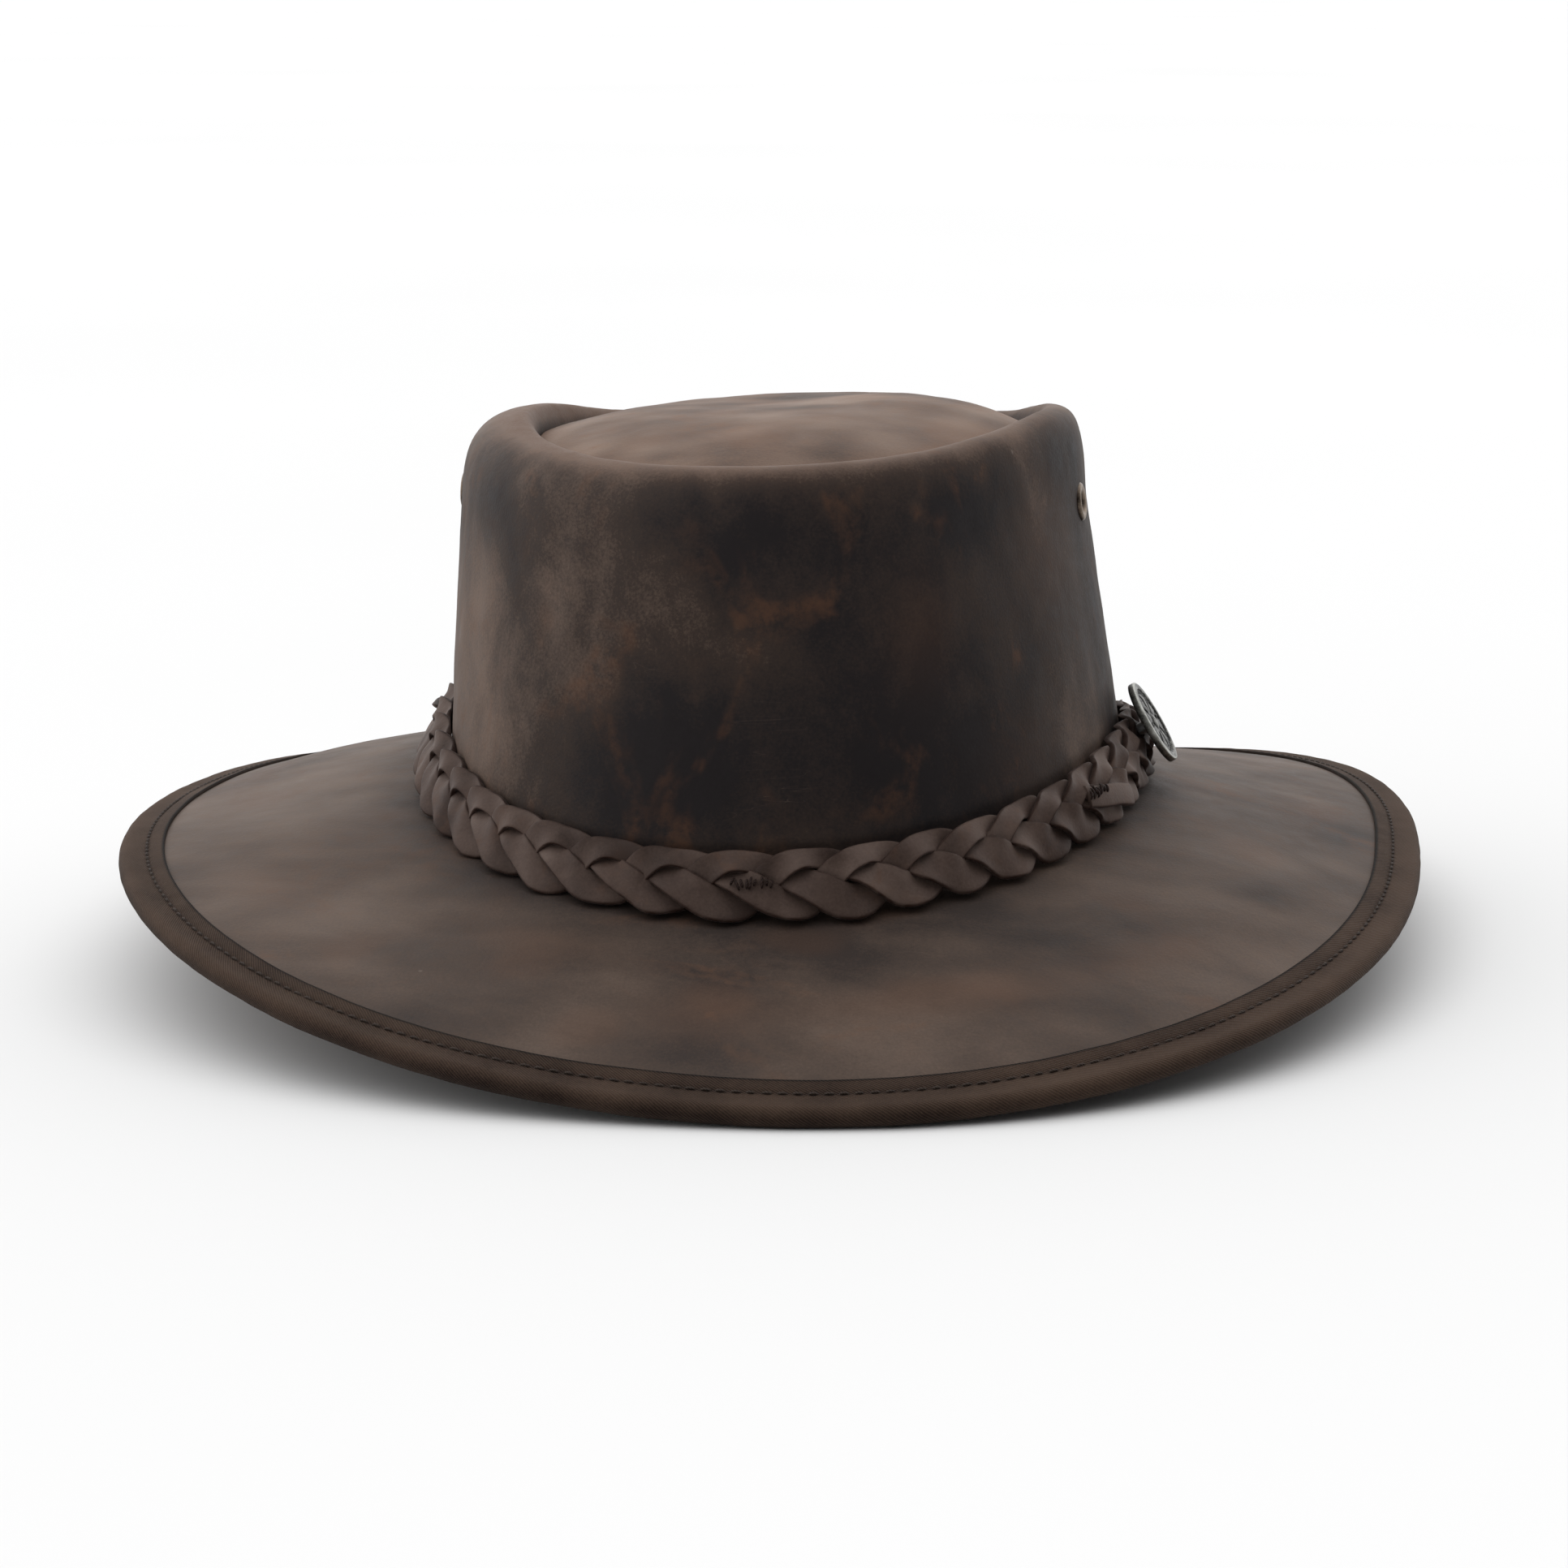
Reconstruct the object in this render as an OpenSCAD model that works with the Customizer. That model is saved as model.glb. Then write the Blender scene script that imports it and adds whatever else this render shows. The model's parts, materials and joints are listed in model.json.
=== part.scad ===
// Leather bush hat: oval crown with an inset domed tip, saddle-shaped wired brim,
// plaited leather band with a round metal badge, two vent eyelets and a sweatband.
// Front is -Y, the wearer's left is +X, up is +Z. The hat stands on its brim at z = 0.

/* [Crown] */
// Half width of the crown's outer wall where it meets the brim
crown_half_width = 84.2; // [80:0.1:90]
// Half length of the crown's outer wall where it meets the brim
crown_half_length = 108.5; // [103:0.5:114]
// Height of the rim's crest above the brim seam, averaged round the crown
crest_height = 85.5; // [75:0.1:100]
// Half width of the rim's crest
crest_half_width = 65.2; // [62:0.1:68]
// Half length of the rim's crest
crest_half_length = 88.1; // [84:0.1:92]
// Depth of the trough between the crest and the tip panel
trough_depth = 8; // [5:0.5:11]
// Height of the tip panel's middle above the brim seam
tip_peak = 90.3; // [88:0.1:104]
// Leather thickness of crown and brim
leather_t = 2; // [1.4:0.1:2.4]

/* [Brim] */
// Half width of the finished brim
brim_half_width = 160.9; // [140:0.1:175]
// Half length of the finished brim
brim_half_length = 185; // [165:0.1:200]
// Drop of the brim's edge below the seam, averaged round the brim
brim_drop = 27.3; // [18:0.1:35]
// How far the sides of the brim curl up and the front and back dip
brim_saddle = 10.3; // [2:0.1:15]
// Width of the fabric binding on each face of the brim
binding_width = 11; // [8:0.5:14]
// Radius of the rolled edge that holds the wire
roll_radius = 2.65; // [2.6:0.05:3.2]

/* [Band and badge] */
// Number of full plait repeats round the crown
plait_repeats = 14; // [10:1:18]
// Width of one plait strand
strand_width = 5.5; // [4:0.5:6]
// Thickness of one plait strand
strand_t = 1; // [0.7:0.1:1.2]
// Diameter of the metal badge
badge_d = 22; // [16:0.5:24]

/* [Fittings] */
// Outer diameter of a vent eyelet's rim
eyelet_d = 9.2; // [7:0.1:11]
// Diameter of the open hole through a vent eyelet
vent_hole_d = 4.5; // [3:0.1:5]
// Height of the sweatband
sweatband_height = 38; // [25:1:45]

/* [Hidden] */

steps = 72;                  // stations round the hat
seam_side_z = 0.1;           // seam height at the sides, before the hat is lifted
seam_drop = 12.9;            // how much lower the seam is at the front and back
seam_roll = -2.1;            // the seam is a little lower at the wearer's left
seam_twist = -0.4;
seam_shift = 1.7;            // the crown's base stands off centre, towards the wearer's left
crest_shift = 1.3;           // and so does its crest
crest_pitch = -3.5;          // the crest falls towards the back
crest_saddle = 4;            // and its sides stand higher than its front and back
shoulder_w = 11.8;           // width of the rolled shoulder outside the crest
shoulder_h = 20;             // height of that shoulder
shoulder_skew_w = 3.5;       // the left shoulder is sharper and the right one rounder
shoulder_skew_h = 1.6;
shoulder_full = 0.62;        // how square the shoulder is, 0 to 1
shoulder_skew_full = 0.17;
wall_bow = 1.15;             // above 1 the wall stands upright first and leans in later
trough_w = 6;                // from the crest in to the tip seam
hem = 7;                     // leather turned down inside the crown at the tip seam
tip_skew = 8;                // the dome is fuller towards the wearer's left
tip_rings = [0.2, 0.4, 0.6, 0.8, 0.93];   // shares of the dome's radius that carry its rings
brim_bow = 0.25;             // 0 is a straight brim section, more drops late
edge_roll = -2.9;            // the brim is a little lower at the wearer's left
edge_twist = 4.7;            // and is twisted by hand shaping
edge_ripple = -1.6;
tape_t = 0.8;                // binding fabric
wire_r = 1.2;
cavity_r = roll_radius - tape_t;
sweat_gap = 0.5;             // between the crown's inside and the sweatband
sweat_t = 1.6;
thread_t = 0.7;
stitch_inset = 4;            // binding stitches stand this far out from the flange's inner edge
seam_rows = 1.6;             // each row of the back seam stands this far from it, in degrees
band_clear = 4.9;            // from the crown out to the plait's middle
band_rise = 8.8;             // the plait's middle above the seam at the sides
band_rise_front = -1.6;      // what is added to that at the front and back
band_lean = 21;              // lean of the plait from upright at the sides
band_lean_front = 7;         // what is added to that at the front and back
plait_sway = 6.2;            // strands swing this far each side of the middle
plait_lift = 2;              // and rise and dip this far as they cross
plait_steps = 12;            // stations in one plait repeat
eyelet_right_at = -7;
eyelet_left_at = -173;
eyelet_height = 68;
barrel_r = vent_hole_d / 2 + 0.4;   // outside of an eyelet's barrel
badge_r = 92.6;              // the badge's middle, out from the hat's axis
badge_h = 11;
badge_lean = 31;             // the badge's face looks this far above level
badge_t = 2.2;
end_tab_at = 170;            // where the plait's pointed end begins
tack_crossings = [-22, -7];  // crossings tacked with dark thread, counted from the left side

// ---- plain outlines, all at angle t round the hat ----

function oval(a, b, n, t) = pow(pow(abs(cos(t)) / a, n) + pow(abs(sin(t)) / b, n), -1 / n);
function sq(x) = x * x;
function mix(a, b, u) = a + (b - a) * u;

function seam_r(t) = oval(crown_half_width, crown_half_length, 2.1, t) + seam_shift * cos(t);
function seam_z(t) = seam_side_z - seam_drop * sq(sin(t)) + seam_roll * cos(t)
                     + seam_twist * sin(2 * t);
function crest_r(t) = oval(crest_half_width, crest_half_length, 2, t) + crest_shift * cos(t);
function crest_z(t) = crest_height + cos(t) + crest_pitch * sin(t) + crest_saddle * cos(2 * t);
function trough_r(t) = crest_r(t) - trough_w;
function trough_z(t) = crest_z(t) - trough_depth;
function shoulder(t) = [crest_r(t) + shoulder_w - shoulder_skew_w * cos(t),
                        crest_z(t) - shoulder_h - shoulder_skew_h * cos(t)];

function edge_r(t) = oval(brim_half_width, brim_half_length, 2.31, t) - roll_radius;
function edge_z(t) = -brim_drop + edge_roll * cos(t) + brim_saddle * cos(2 * t)
                     + edge_twist * sin(2 * t) + edge_ripple * cos(4 * t);
function brim_fall(s) = s * (1 - brim_bow) + brim_bow * s * s;
function brim_mid_z(t, r) = mix(seam_z(t) - leather_t / 2, edge_z(t),
                                brim_fall((r - seam_r(t)) / (edge_r(t) - seam_r(t))));
function brim_slope(t) = atan2((edge_z(t) - seam_z(t)) * (1 + brim_bow), edge_r(t) - seam_r(t));

// Crown wall from the seam (u = 0) to the shoulder (u = 1), as [radius, height]
function wall(t, u) = [mix(seam_r(t), shoulder(t)[0], pow(u, wall_bow)),
                       mix(seam_z(t), shoulder(t)[1], u)];

function bezier(p, u) = p[0] * pow(1 - u, 3) + p[1] * 3 * u * sq(1 - u)
                        + p[2] * 3 * sq(u) * (1 - u) + p[3] * pow(u, 3);

// ---- sections in the [radius, height] plane ----

function unit(v) = v / norm(v);
function tangent(p, i) = unit(p[min(i + 1, len(p) - 1)] - p[max(i - 1, 0)]);
function inset(p, d) = [for (i = [0:len(p) - 1])
    let (d1 = tangent(p, i)) p[i] - d * [d1[1], -d1[0]]];
function reversed(p) = [for (i = [len(p) - 1:-1:0]) p[i]];

function shoulder_path(t) =
    let (a = shoulder(t), c = [crest_r(t), crest_z(t)], w = a - wall(t, 0.8),
         up = unit([w[0] * sq(sin(t)), w[1]]), h = c[1] - a[1],
         full = shoulder_full + shoulder_skew_full * cos(t))
    [for (u = [0.25:0.25:1]) bezier([a, a + up * h * full, [mix(c[0], a[0], full), c[1]], c], u)];
function trough_path(t) =
    let (c = [crest_r(t), crest_z(t)], b = [trough_r(t), trough_z(t)])
    [for (u = [0.33, 0.67, 1])
        bezier([c, [mix(c[0], b[0], 0.6), c[1]], [b[0], mix(b[1], c[1], 0.5)], b], u)];

function crown_path(t) = concat([for (u = [0, 0.2, 0.4, 0.6, 0.8, 1]) wall(t, u)],
                                shoulder_path(t), trough_path(t),
                                [[trough_r(t), trough_z(t) - hem]]);
// Outside of the crown at height z, anywhere from the seam up to the crest
function wall_at(t, z) = [lookup(z, [for (p = crown_path(t)) if (p[0] >= crest_r(t)) [p[1], p[0]]]), z];
function crown_section(t) =
    let (out = crown_path(t), inn = inset(out, leather_t), r0 = seam_r(t) - leather_t)
    concat(out, reversed([for (i = [0:len(inn) - 1])
        i == 0 ? [r0, brim_mid_z(t, r0) + leather_t / 2] : inn[i]]));

// Tip panel from the rim of its dome down its hem
function tip_r(t) = trough_r(t) - 0.02;
function dome_z(t, s) = mix(trough_z(t) + 1.6, tip_peak, 1 - pow(s, 2.2))
                        + tip_skew * s * (1 - s) * cos(t);
function tip_path(t) = concat([for (s = tip_rings) [tip_r(t) * s, dome_z(t, s)]],
                              [[tip_r(t), trough_z(t) - 0.8], [tip_r(t), trough_z(t) - hem]]);
function tip_under(t) = concat([[tip_r(t) - leather_t, trough_z(t) - hem],
                                [tip_r(t) - leather_t, trough_z(t) - 2]],
                               [for (s = reversed(tip_rings))
                                   [tip_r(t) * s - (s > 0.9 ? 0.6 : 0), dome_z(t, s) - leather_t]]);

function flange_r(t) = [for (u = [1, 0.75, 0.5]) edge_r(t) + roll_radius - binding_width * u];
function brim_radii(t) = let (a = seam_r(t))
    concat([a - leather_t], [for (u = [0:0.25:0.75]) mix(a, flange_r(t)[0], u)], flange_r(t));
function brim_section(t) = concat(
    [for (r = brim_radii(t)) [r, brim_mid_z(t, r) - leather_t / 2]],
    [for (r = reversed(brim_radii(t))) [r, brim_mid_z(t, r) + leather_t / 2]]);

// Binding: two flanges on the brim's faces and a rolled edge round the wire
function arc_points(t, rad, a0, a1, n) = [for (i = [0:n])
    let (a = mix(a0, a1, i / n) + brim_slope(t))
    [edge_r(t) + rad * cos(a), edge_z(t) + rad * sin(a)]];
function flange(t, side, lift) = [for (r = flange_r(t))
    [r, brim_mid_z(t, r) + side * (leather_t / 2 + lift)]];
function binding_section(t) = concat(
    flange(t, -1, tape_t), arc_points(t, roll_radius, -115, 115, 10),
    reversed(flange(t, 1, tape_t)), flange(t, 1, 0.03),
    arc_points(t, cavity_r, 125, -125, 10), reversed(flange(t, -1, 0.03)));
function ring_section(c, rad, n) = [for (i = [0:n - 1]) c + rad * [cos(i * 360 / n), sin(i * 360 / n)]];

function sweat_section(t) =
    let (z0 = seam_z(t) - leather_t,
         face = [for (k = [0:4]) let (z = z0 + sweatband_height * k / 4)
             [wall_at(t, max(z, seam_z(t)))[0] - leather_t - sweat_gap, z]])
    concat(face, reversed([for (p = face) p - [sweat_t, 0]]));

function thread_section(c) = ring_section(c, thread_t / 2, 4);

// The hat is lifted so that the lowest point of its binding stands at z = 0
lift = -min([for (i = [0:steps - 1]) min([for (p = binding_section(i * 360 / steps)) p[1]])]);

// ---- solids ----

function place(p, t) = [p[0] * cos(t), p[0] * sin(t), p[1] + lift];
function quad(a, b, c, d) = [[a, b, c], [a, c, d]];
function skin(n, m, wrap) = [for (i = [0:n - (wrap ? 1 : 2)], j = [0:m - 1])
    let (k = (i + 1) % n, l = (j + 1) % m)
    each quad(i * m + j, i * m + l, k * m + l, k * m + j)];

// A closed band: the section at every station, joined all the way round.
// Sections run anticlockwise about their own middle, with radius to the right.
module hoop(sections) {
    n = len(sections);
    m = len(sections[0]);
    polyhedron(points = [for (i = [0:n - 1], p = sections[i]) place(p, i * 360 / n)],
               faces = skin(n, m, true), convexity = 8);
}

// A bar: sections given as full 3D rings, closed by a face at each end unless it wraps
module bar(rings, wrap = false) {
    n = len(rings);
    m = len(rings[0]);
    ends = wrap ? [] : [[for (j = [0:m - 1]) m - 1 - j], [for (j = [0:m - 1]) (n - 1) * m + j]];
    polyhedron(points = [for (r = rings) each r],
               faces = concat(wrap ? skin(n, m, true) : skin(n, m, false), ends), convexity = 8);
}

// Stands a shape's own z axis on the crown wall, looking out along its normal
module on_wall(t, z) {
    d = 3;   // the normal is averaged over this much either way, in degrees and in height
    n = unit(cross(place(wall_at(t + d, z), t + d) - place(wall_at(t - d, z), t - d),
                   place(wall_at(t, z + d), t) - place(wall_at(t, z - d), t)));
    translate(place(wall_at(t, z), t)) rotate([0, acos(n[2]), atan2(n[1], n[0])]) children();
}

module on_badge()
    translate([badge_r, 0, badge_h + lift]) rotate([0, 90 - badge_lean, 0]) children();

module crown_side() color([0.22, 0.16, 0.13]) difference() {
    hoop([for (i = [0:steps - 1]) crown_section(i * 360 / steps)]);
    on_wall(eyelet_right_at, eyelet_height) cylinder(h = 12, r = barrel_r, center = true, $fn = 48);
    on_wall(eyelet_left_at, eyelet_height) cylinder(h = 12, r = barrel_r, center = true, $fn = 48);
}

module crown_tip() color([0.27, 0.19, 0.15]) {
    top = [for (i = [0:steps - 1]) concat(tip_path(i * 360 / steps), tip_under(i * 360 / steps))];
    m = len(top[0]);
    pole = steps * m;
    polyhedron(
        points = concat([for (i = [0:steps - 1], p = top[i]) place(p, i * 360 / steps)],
                        [[0, 0, tip_peak + lift], [0, 0, tip_peak - leather_t + lift]]),
        faces = concat(
            [for (i = [0:steps - 1], j = [0:m - 2]) let (k = (i + 1) % steps)
                each quad(i * m + j, k * m + j, k * m + j + 1, i * m + j + 1)],
            [for (i = [0:steps - 1]) [pole, ((i + 1) % steps) * m, i * m]],
            [for (i = [0:steps - 1]) [pole + 1, i * m + m - 1, ((i + 1) % steps) * m + m - 1]]),
        convexity = 6);
}

module brim() color([0.25, 0.19, 0.16])
    hoop([for (i = [0:steps - 1]) brim_section(i * 360 / steps)]);

module brim_binding() color([0.2, 0.14, 0.11])
    hoop([for (i = [0:steps - 1]) binding_section(i * 360 / steps)]);

module brim_wire() color([0.6, 0.6, 0.62])
    hoop([for (i = [0:steps - 1]) let (t = i * 360 / steps)
        ring_section([edge_r(t), edge_z(t)], wire_r, 8)]);

// Crimped sleeve over the joined ends of the wire at the back
module wire_sleeve() color([0.7, 0.68, 0.6]) {
    a = place([edge_r(89), edge_z(89)], 89);
    b = place([edge_r(91), edge_z(91)], 91);
    n = unit(b - a);
    translate((a + b) / 2) rotate([0, acos(n[2]), atan2(n[1], n[0])]) difference() {
        cylinder(h = 9, r = cavity_r - 0.2, center = true, $fn = 32);
        cylinder(h = 10, r = wire_r + 0.15, center = true, $fn = 32);
    }
}

module sweatband() color([0.12, 0.1, 0.09])
    hoop([for (i = [0:steps - 1]) sweat_section(i * 360 / steps)]);

// Barrel and rolled rim of a vent eyelet, standing on the outside of the wall
module eyelet() color([0.3, 0.24, 0.19]) rotate_extrude($fn = 48)
    polygon([[vent_hole_d / 2, -leather_t - 1.2], [barrel_r - 0.02, -leather_t - 1.2],
             [barrel_r - 0.02, 0.25], [eyelet_d / 2, 0.25], [eyelet_d / 2 - 0.3, 0.75],
             [eyelet_d / 2 - 1, 1.1], [vent_hole_d / 2 + 0.5, 1], [vent_hole_d / 2, 0.5]]);
module vent_eyelet_right() on_wall(eyelet_right_at, eyelet_height) eyelet();
module vent_eyelet_left() on_wall(eyelet_left_at, eyelet_height) eyelet();

// Washer that the barrel is rolled over, inside the crown
module washer() color([0.35, 0.28, 0.22]) translate([0, 0, -leather_t - 0.85])
    difference() {
        cylinder(h = 0.5, d = eyelet_d, $fn = 48);
        translate([0, 0, -1]) cylinder(h = 3, r = barrel_r + 0.02, $fn = 48);
    }
module vent_washer_right() on_wall(eyelet_right_at, eyelet_height) washer();
module vent_washer_left() on_wall(eyelet_left_at, eyelet_height) washer();

// ---- plaited band ----

function front_share(t) = sq(sin(t));
function lean(t) = band_lean + band_lean_front * front_share(t);
function band_point(t, w, n) =
    place([seam_r(t) + band_clear - w * sin(lean(t)) + n * cos(lean(t)),
           seam_z(t) + band_rise + band_rise_front * front_share(t)
               + w * cos(lean(t)) + n * sin(lean(t))], t);
function plait_phase(t, strand) = plait_repeats * t + 120 * strand;
function strand_mid(t, strand) = let (ph = plait_phase(t, strand))
    band_point(t, plait_sway * sin(ph), plait_lift * sin(2 * ph));
function strand_ring(t, strand) =
    let (p = strand_mid(t, strand), along = unit(strand_mid(t + 0.3, strand) - strand_mid(t - 0.3, strand)),
         out = unit(band_point(t, 0, 1) - band_point(t, 0, 0)),
         side = unit(cross(along, out)), up = unit(cross(side, along)),
         a = side * strand_width / 2, b = up * strand_t / 2)
    [p - a - b, p + a - b, p + a + b, p - a + b];

module braid_strand(k) color([0.24, 0.17, 0.14]) {
    n = plait_repeats * plait_steps;
    bar([for (i = [0:n - 1]) strand_ring(i * 360 / n, k)], wrap = true);
}
module braid_strand_1() braid_strand(0);
module braid_strand_2() braid_strand(1);
module braid_strand_3() braid_strand(2);

// Pointed end of leather that stands up from the plait on the wearer's right
module band_end_tab() color([0.23, 0.17, 0.14])
    bar([for (k = [0:4]) let (t = end_tab_at + k * 2, half = 5.5 - k * 1.1)
        [for (c = [[-half, 0], [-half, 1], [half, 1], [half, 0]]) band_point(t, 5 + c[0], 3.2 + c[1])]]);

// ---- badge ----

module badge_disc() color([0.5, 0.48, 0.45]) on_badge() difference() {
    rotate_extrude($fn = 64) polygon([[0, 0], [badge_d / 2 - 0.4, 0], [badge_d / 2, 0.5],
        [badge_d / 2, badge_t - 0.4], [badge_d / 2 - 0.4, badge_t],
        [badge_d / 2 - 1.4, badge_t], [badge_d / 2 - 1.9, badge_t - 0.6], [0, badge_t - 0.6]]);
    for (k = [0:7]) rotate(k * 45) translate([badge_d / 2 - 4.6, 0, -1]) cylinder(h = 5, r = 1.5, $fn = 32);
    translate([0, 0, -1]) cylinder(h = 1.9, r = 1.6, $fn = 48);
}
// Screw through the plait that holds the badge, and its nut on the inner face
module badge_screw() color([0.45, 0.43, 0.4]) on_badge() translate([0, 0, -7.4])
    cylinder(h = 8.2, r = 1.55, $fn = 48);
module badge_nut() color([0.45, 0.43, 0.4]) on_badge() translate([0, 0, -7.2])
    difference() {
        cylinder(h = 1.2, r = 2.6, $fn = 48);
        translate([0, 0, -1]) cylinder(h = 4, r = 1.57, $fn = 48);
    }

// ---- threads ----

function tip_thread_at(t) = [trough_r(t) + leather_t + thread_t / 2 + 0.05, trough_z(t) - hem / 2];
module tip_seam_thread() color([0.12, 0.09, 0.07])
    hoop([for (i = [0:steps - 1]) thread_section(tip_thread_at(i * 360 / steps))]);

module brim_seam_thread() color([0.12, 0.09, 0.07])
    hoop([for (i = [0:steps - 1]) let (t = i * 360 / steps)
        thread_section([seam_r(t) + thread_t / 2 + 0.05,
                        brim_mid_z(t, seam_r(t)) + leather_t / 2 + thread_t / 2 + 0.2])]);

module binding_thread() color([0.1, 0.07, 0.06])
    hoop([for (i = [0:steps - 1]) let (t = i * 360 / steps,
            r = edge_r(t) + roll_radius - binding_width + stitch_inset)
        thread_section([r, brim_mid_z(t, r) + leather_t / 2 + tape_t + thread_t / 2 + 0.05])]);

module sweatband_thread() color([0.12, 0.1, 0.09])
    hoop([for (i = [0:steps - 1]) let (t = i * 360 / steps, p = wall_at(t, seam_z(t) + 2))
        thread_section(p - [leather_t + sweat_gap + sweat_t + thread_t / 2 + 0.15, 0])]);

// Two rows of stitching down the crown's back seam
module back_seam_thread() color([0.12, 0.09, 0.07]) for (s = [-1, 1]) {
    t = 90 + s * seam_rows;
    bar([for (u = [1:-0.13:0.22]) let (p = wall(t, u) + [thread_t / 2 + 0.15, 0])
        [for (q = thread_section(p)) place([q[0], p[1]], t + (q[1] - p[1]) / 2)]]);
}

// Short dark stitches that tack the plait's crossings together
module plait_tack_stitches() color([0.1, 0.06, 0.05])
    for (n = tack_crossings, k = [-2:2]) {
        t = n * 60 / plait_repeats;
        translate(band_point(t + k * 0.6, 0, strand_t / 2 + 0.3)) rotate([0, 90 - lean(t), t])
            rotate([90, 0, 90]) cylinder(h = 2.6, r = 0.35, center = true, $fn = 16);
    }

crown_side();
crown_tip();
brim();
brim_binding();
brim_wire();
wire_sleeve();
sweatband();
vent_eyelet_right();
vent_eyelet_left();
vent_washer_right();
vent_washer_left();
braid_strand_1();
braid_strand_2();
braid_strand_3();
band_end_tab();
badge_disc();
badge_screw();
badge_nut();
tip_seam_thread();
back_seam_thread();
brim_seam_thread();
binding_thread();
sweatband_thread();
plait_tack_stitches();
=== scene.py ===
"""Leather bush hat: the visible pieces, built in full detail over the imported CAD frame.

Lengths are millimetres until a mesh is made, and angles are degrees. t runs round the hat:
0 at the wearer's left (+X), -90 at the front (-Y). Heights are measured from the level of the
brim seam at the sides, which stands LIFT above the floor.
"""
import json
import math

import bmesh
import bpy
import numpy as np
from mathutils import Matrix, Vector


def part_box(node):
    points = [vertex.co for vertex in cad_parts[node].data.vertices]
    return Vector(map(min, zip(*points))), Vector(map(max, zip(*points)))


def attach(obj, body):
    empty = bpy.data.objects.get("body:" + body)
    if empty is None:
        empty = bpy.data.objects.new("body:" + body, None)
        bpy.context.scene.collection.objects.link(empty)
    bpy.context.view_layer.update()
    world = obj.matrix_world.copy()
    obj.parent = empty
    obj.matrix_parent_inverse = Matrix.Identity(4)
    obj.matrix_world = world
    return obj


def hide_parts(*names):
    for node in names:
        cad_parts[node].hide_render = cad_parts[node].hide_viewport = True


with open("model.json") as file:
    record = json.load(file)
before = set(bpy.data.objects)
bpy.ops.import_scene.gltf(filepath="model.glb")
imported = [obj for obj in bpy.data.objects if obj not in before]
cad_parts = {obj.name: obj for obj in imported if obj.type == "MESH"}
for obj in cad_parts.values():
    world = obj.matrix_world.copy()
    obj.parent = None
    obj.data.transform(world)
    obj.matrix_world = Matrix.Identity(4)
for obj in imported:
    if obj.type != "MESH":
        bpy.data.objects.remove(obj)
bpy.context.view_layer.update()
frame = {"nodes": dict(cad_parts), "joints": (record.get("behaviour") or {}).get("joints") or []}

MM = 0.001


# ---- camera, floor and light ----

CAMERA_AT = Vector((0.1463, -0.9675, 0.2419))      # metres
CAMERA_LOOKS_AT = Vector((0, 0, 0.03566))


def add_camera():
    data = bpy.data.cameras.new("camera")
    data.lens = 90
    data.sensor_width = 36
    data.clip_end = 100
    camera = bpy.data.objects.new("camera", data)
    camera.location = CAMERA_AT
    camera.rotation_euler = (CAMERA_LOOKS_AT - CAMERA_AT).to_track_quat("-Z", "Y").to_euler()
    bpy.context.scene.collection.objects.link(camera)
    bpy.context.scene.camera = camera


add_camera()


# ---- mathematics of the hat, as in part.scad ----

def sin(t):
    return np.sin(np.radians(t))


def cos(t):
    return np.cos(np.radians(t))


def angles(count):
    return np.arange(count) * 360.0 / count


def mix(a, b, u):
    return a + (b - a) * u


def smooth(x, a, b):
    """0 below a, 1 above b, and an even curve between."""
    u = np.clip((x - a) / (b - a), 0, 1)
    return u * u * (3 - 2 * u)


def oval(a, b, n, t):
    return (np.abs(cos(t) / a) ** n + np.abs(sin(t) / b) ** n) ** (-1 / n)


def stack(r, z):
    return np.stack(np.broadcast_arrays(r, z), -1)


def unit(v):
    return v / np.maximum(np.linalg.norm(v, axis=-1, keepdims=True), 1e-9)


BRIM_LOW, BRIM_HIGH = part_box("brim_binding")
BRIM_HALF_W, BRIM_HALF_L = ((BRIM_HIGH - BRIM_LOW) / 2 / MM)[:2]
LEATHER = 2.0
ROLL = 2.65          # radius of the rolled brim edge
TAPE = 0.8           # binding fabric
FLANGE = 11.0        # width of the binding on each face, from the brim's outer edge
HEM = 7.0            # leather turned down inside the crown at the tip seam
TIP_PEAK = 90.3


def seam_r(t):
    return oval(84.2, 108.5, 2.1, t) + 1.7 * cos(t)


def seam_z(t):
    return 0.1 - 12.9 * sin(t) ** 2 - 2.1 * cos(t) - 0.4 * sin(2 * t)


def crest_r(t):
    return oval(65.2, 88.1, 2, t) + 1.3 * cos(t)


def crest_z(t):
    return 85.5 + cos(t) - 3.5 * sin(t) + 4 * cos(2 * t)


def trough_r(t):
    return crest_r(t) - 6 + 2.5 * cos(t) ** 2


def trough_z(t):
    return crest_z(t) - 8


def shoulder(t):
    return stack(crest_r(t) + 11.8 - 3.5 * cos(t), crest_z(t) - 20 - 1.6 * cos(t))


def wall(t, u):
    """Outside of the crown wall as [radius, height], from the seam (u = 0) to the shoulder (u = 1)."""
    a = shoulder(t)
    return stack(mix(seam_r(t), a[..., 0], u ** 1.15), mix(seam_z(t), a[..., 1], u))


def wall_r(t, z):
    top = shoulder(t)
    u = np.clip((z - seam_z(t)) / (top[..., 1] - seam_z(t)), 0, 1)
    return mix(seam_r(t), top[..., 0], u ** 1.15)


def edge_r(t):
    """Radius of the wire in the brim's rolled edge."""
    return oval(BRIM_HALF_W, BRIM_HALF_L, 2.31, t) - ROLL


def edge_z(t):
    return -27.3 - 2.9 * cos(t) + 10.3 * cos(2 * t) + 4.7 * sin(2 * t) - 1.6 * cos(4 * t)


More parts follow.
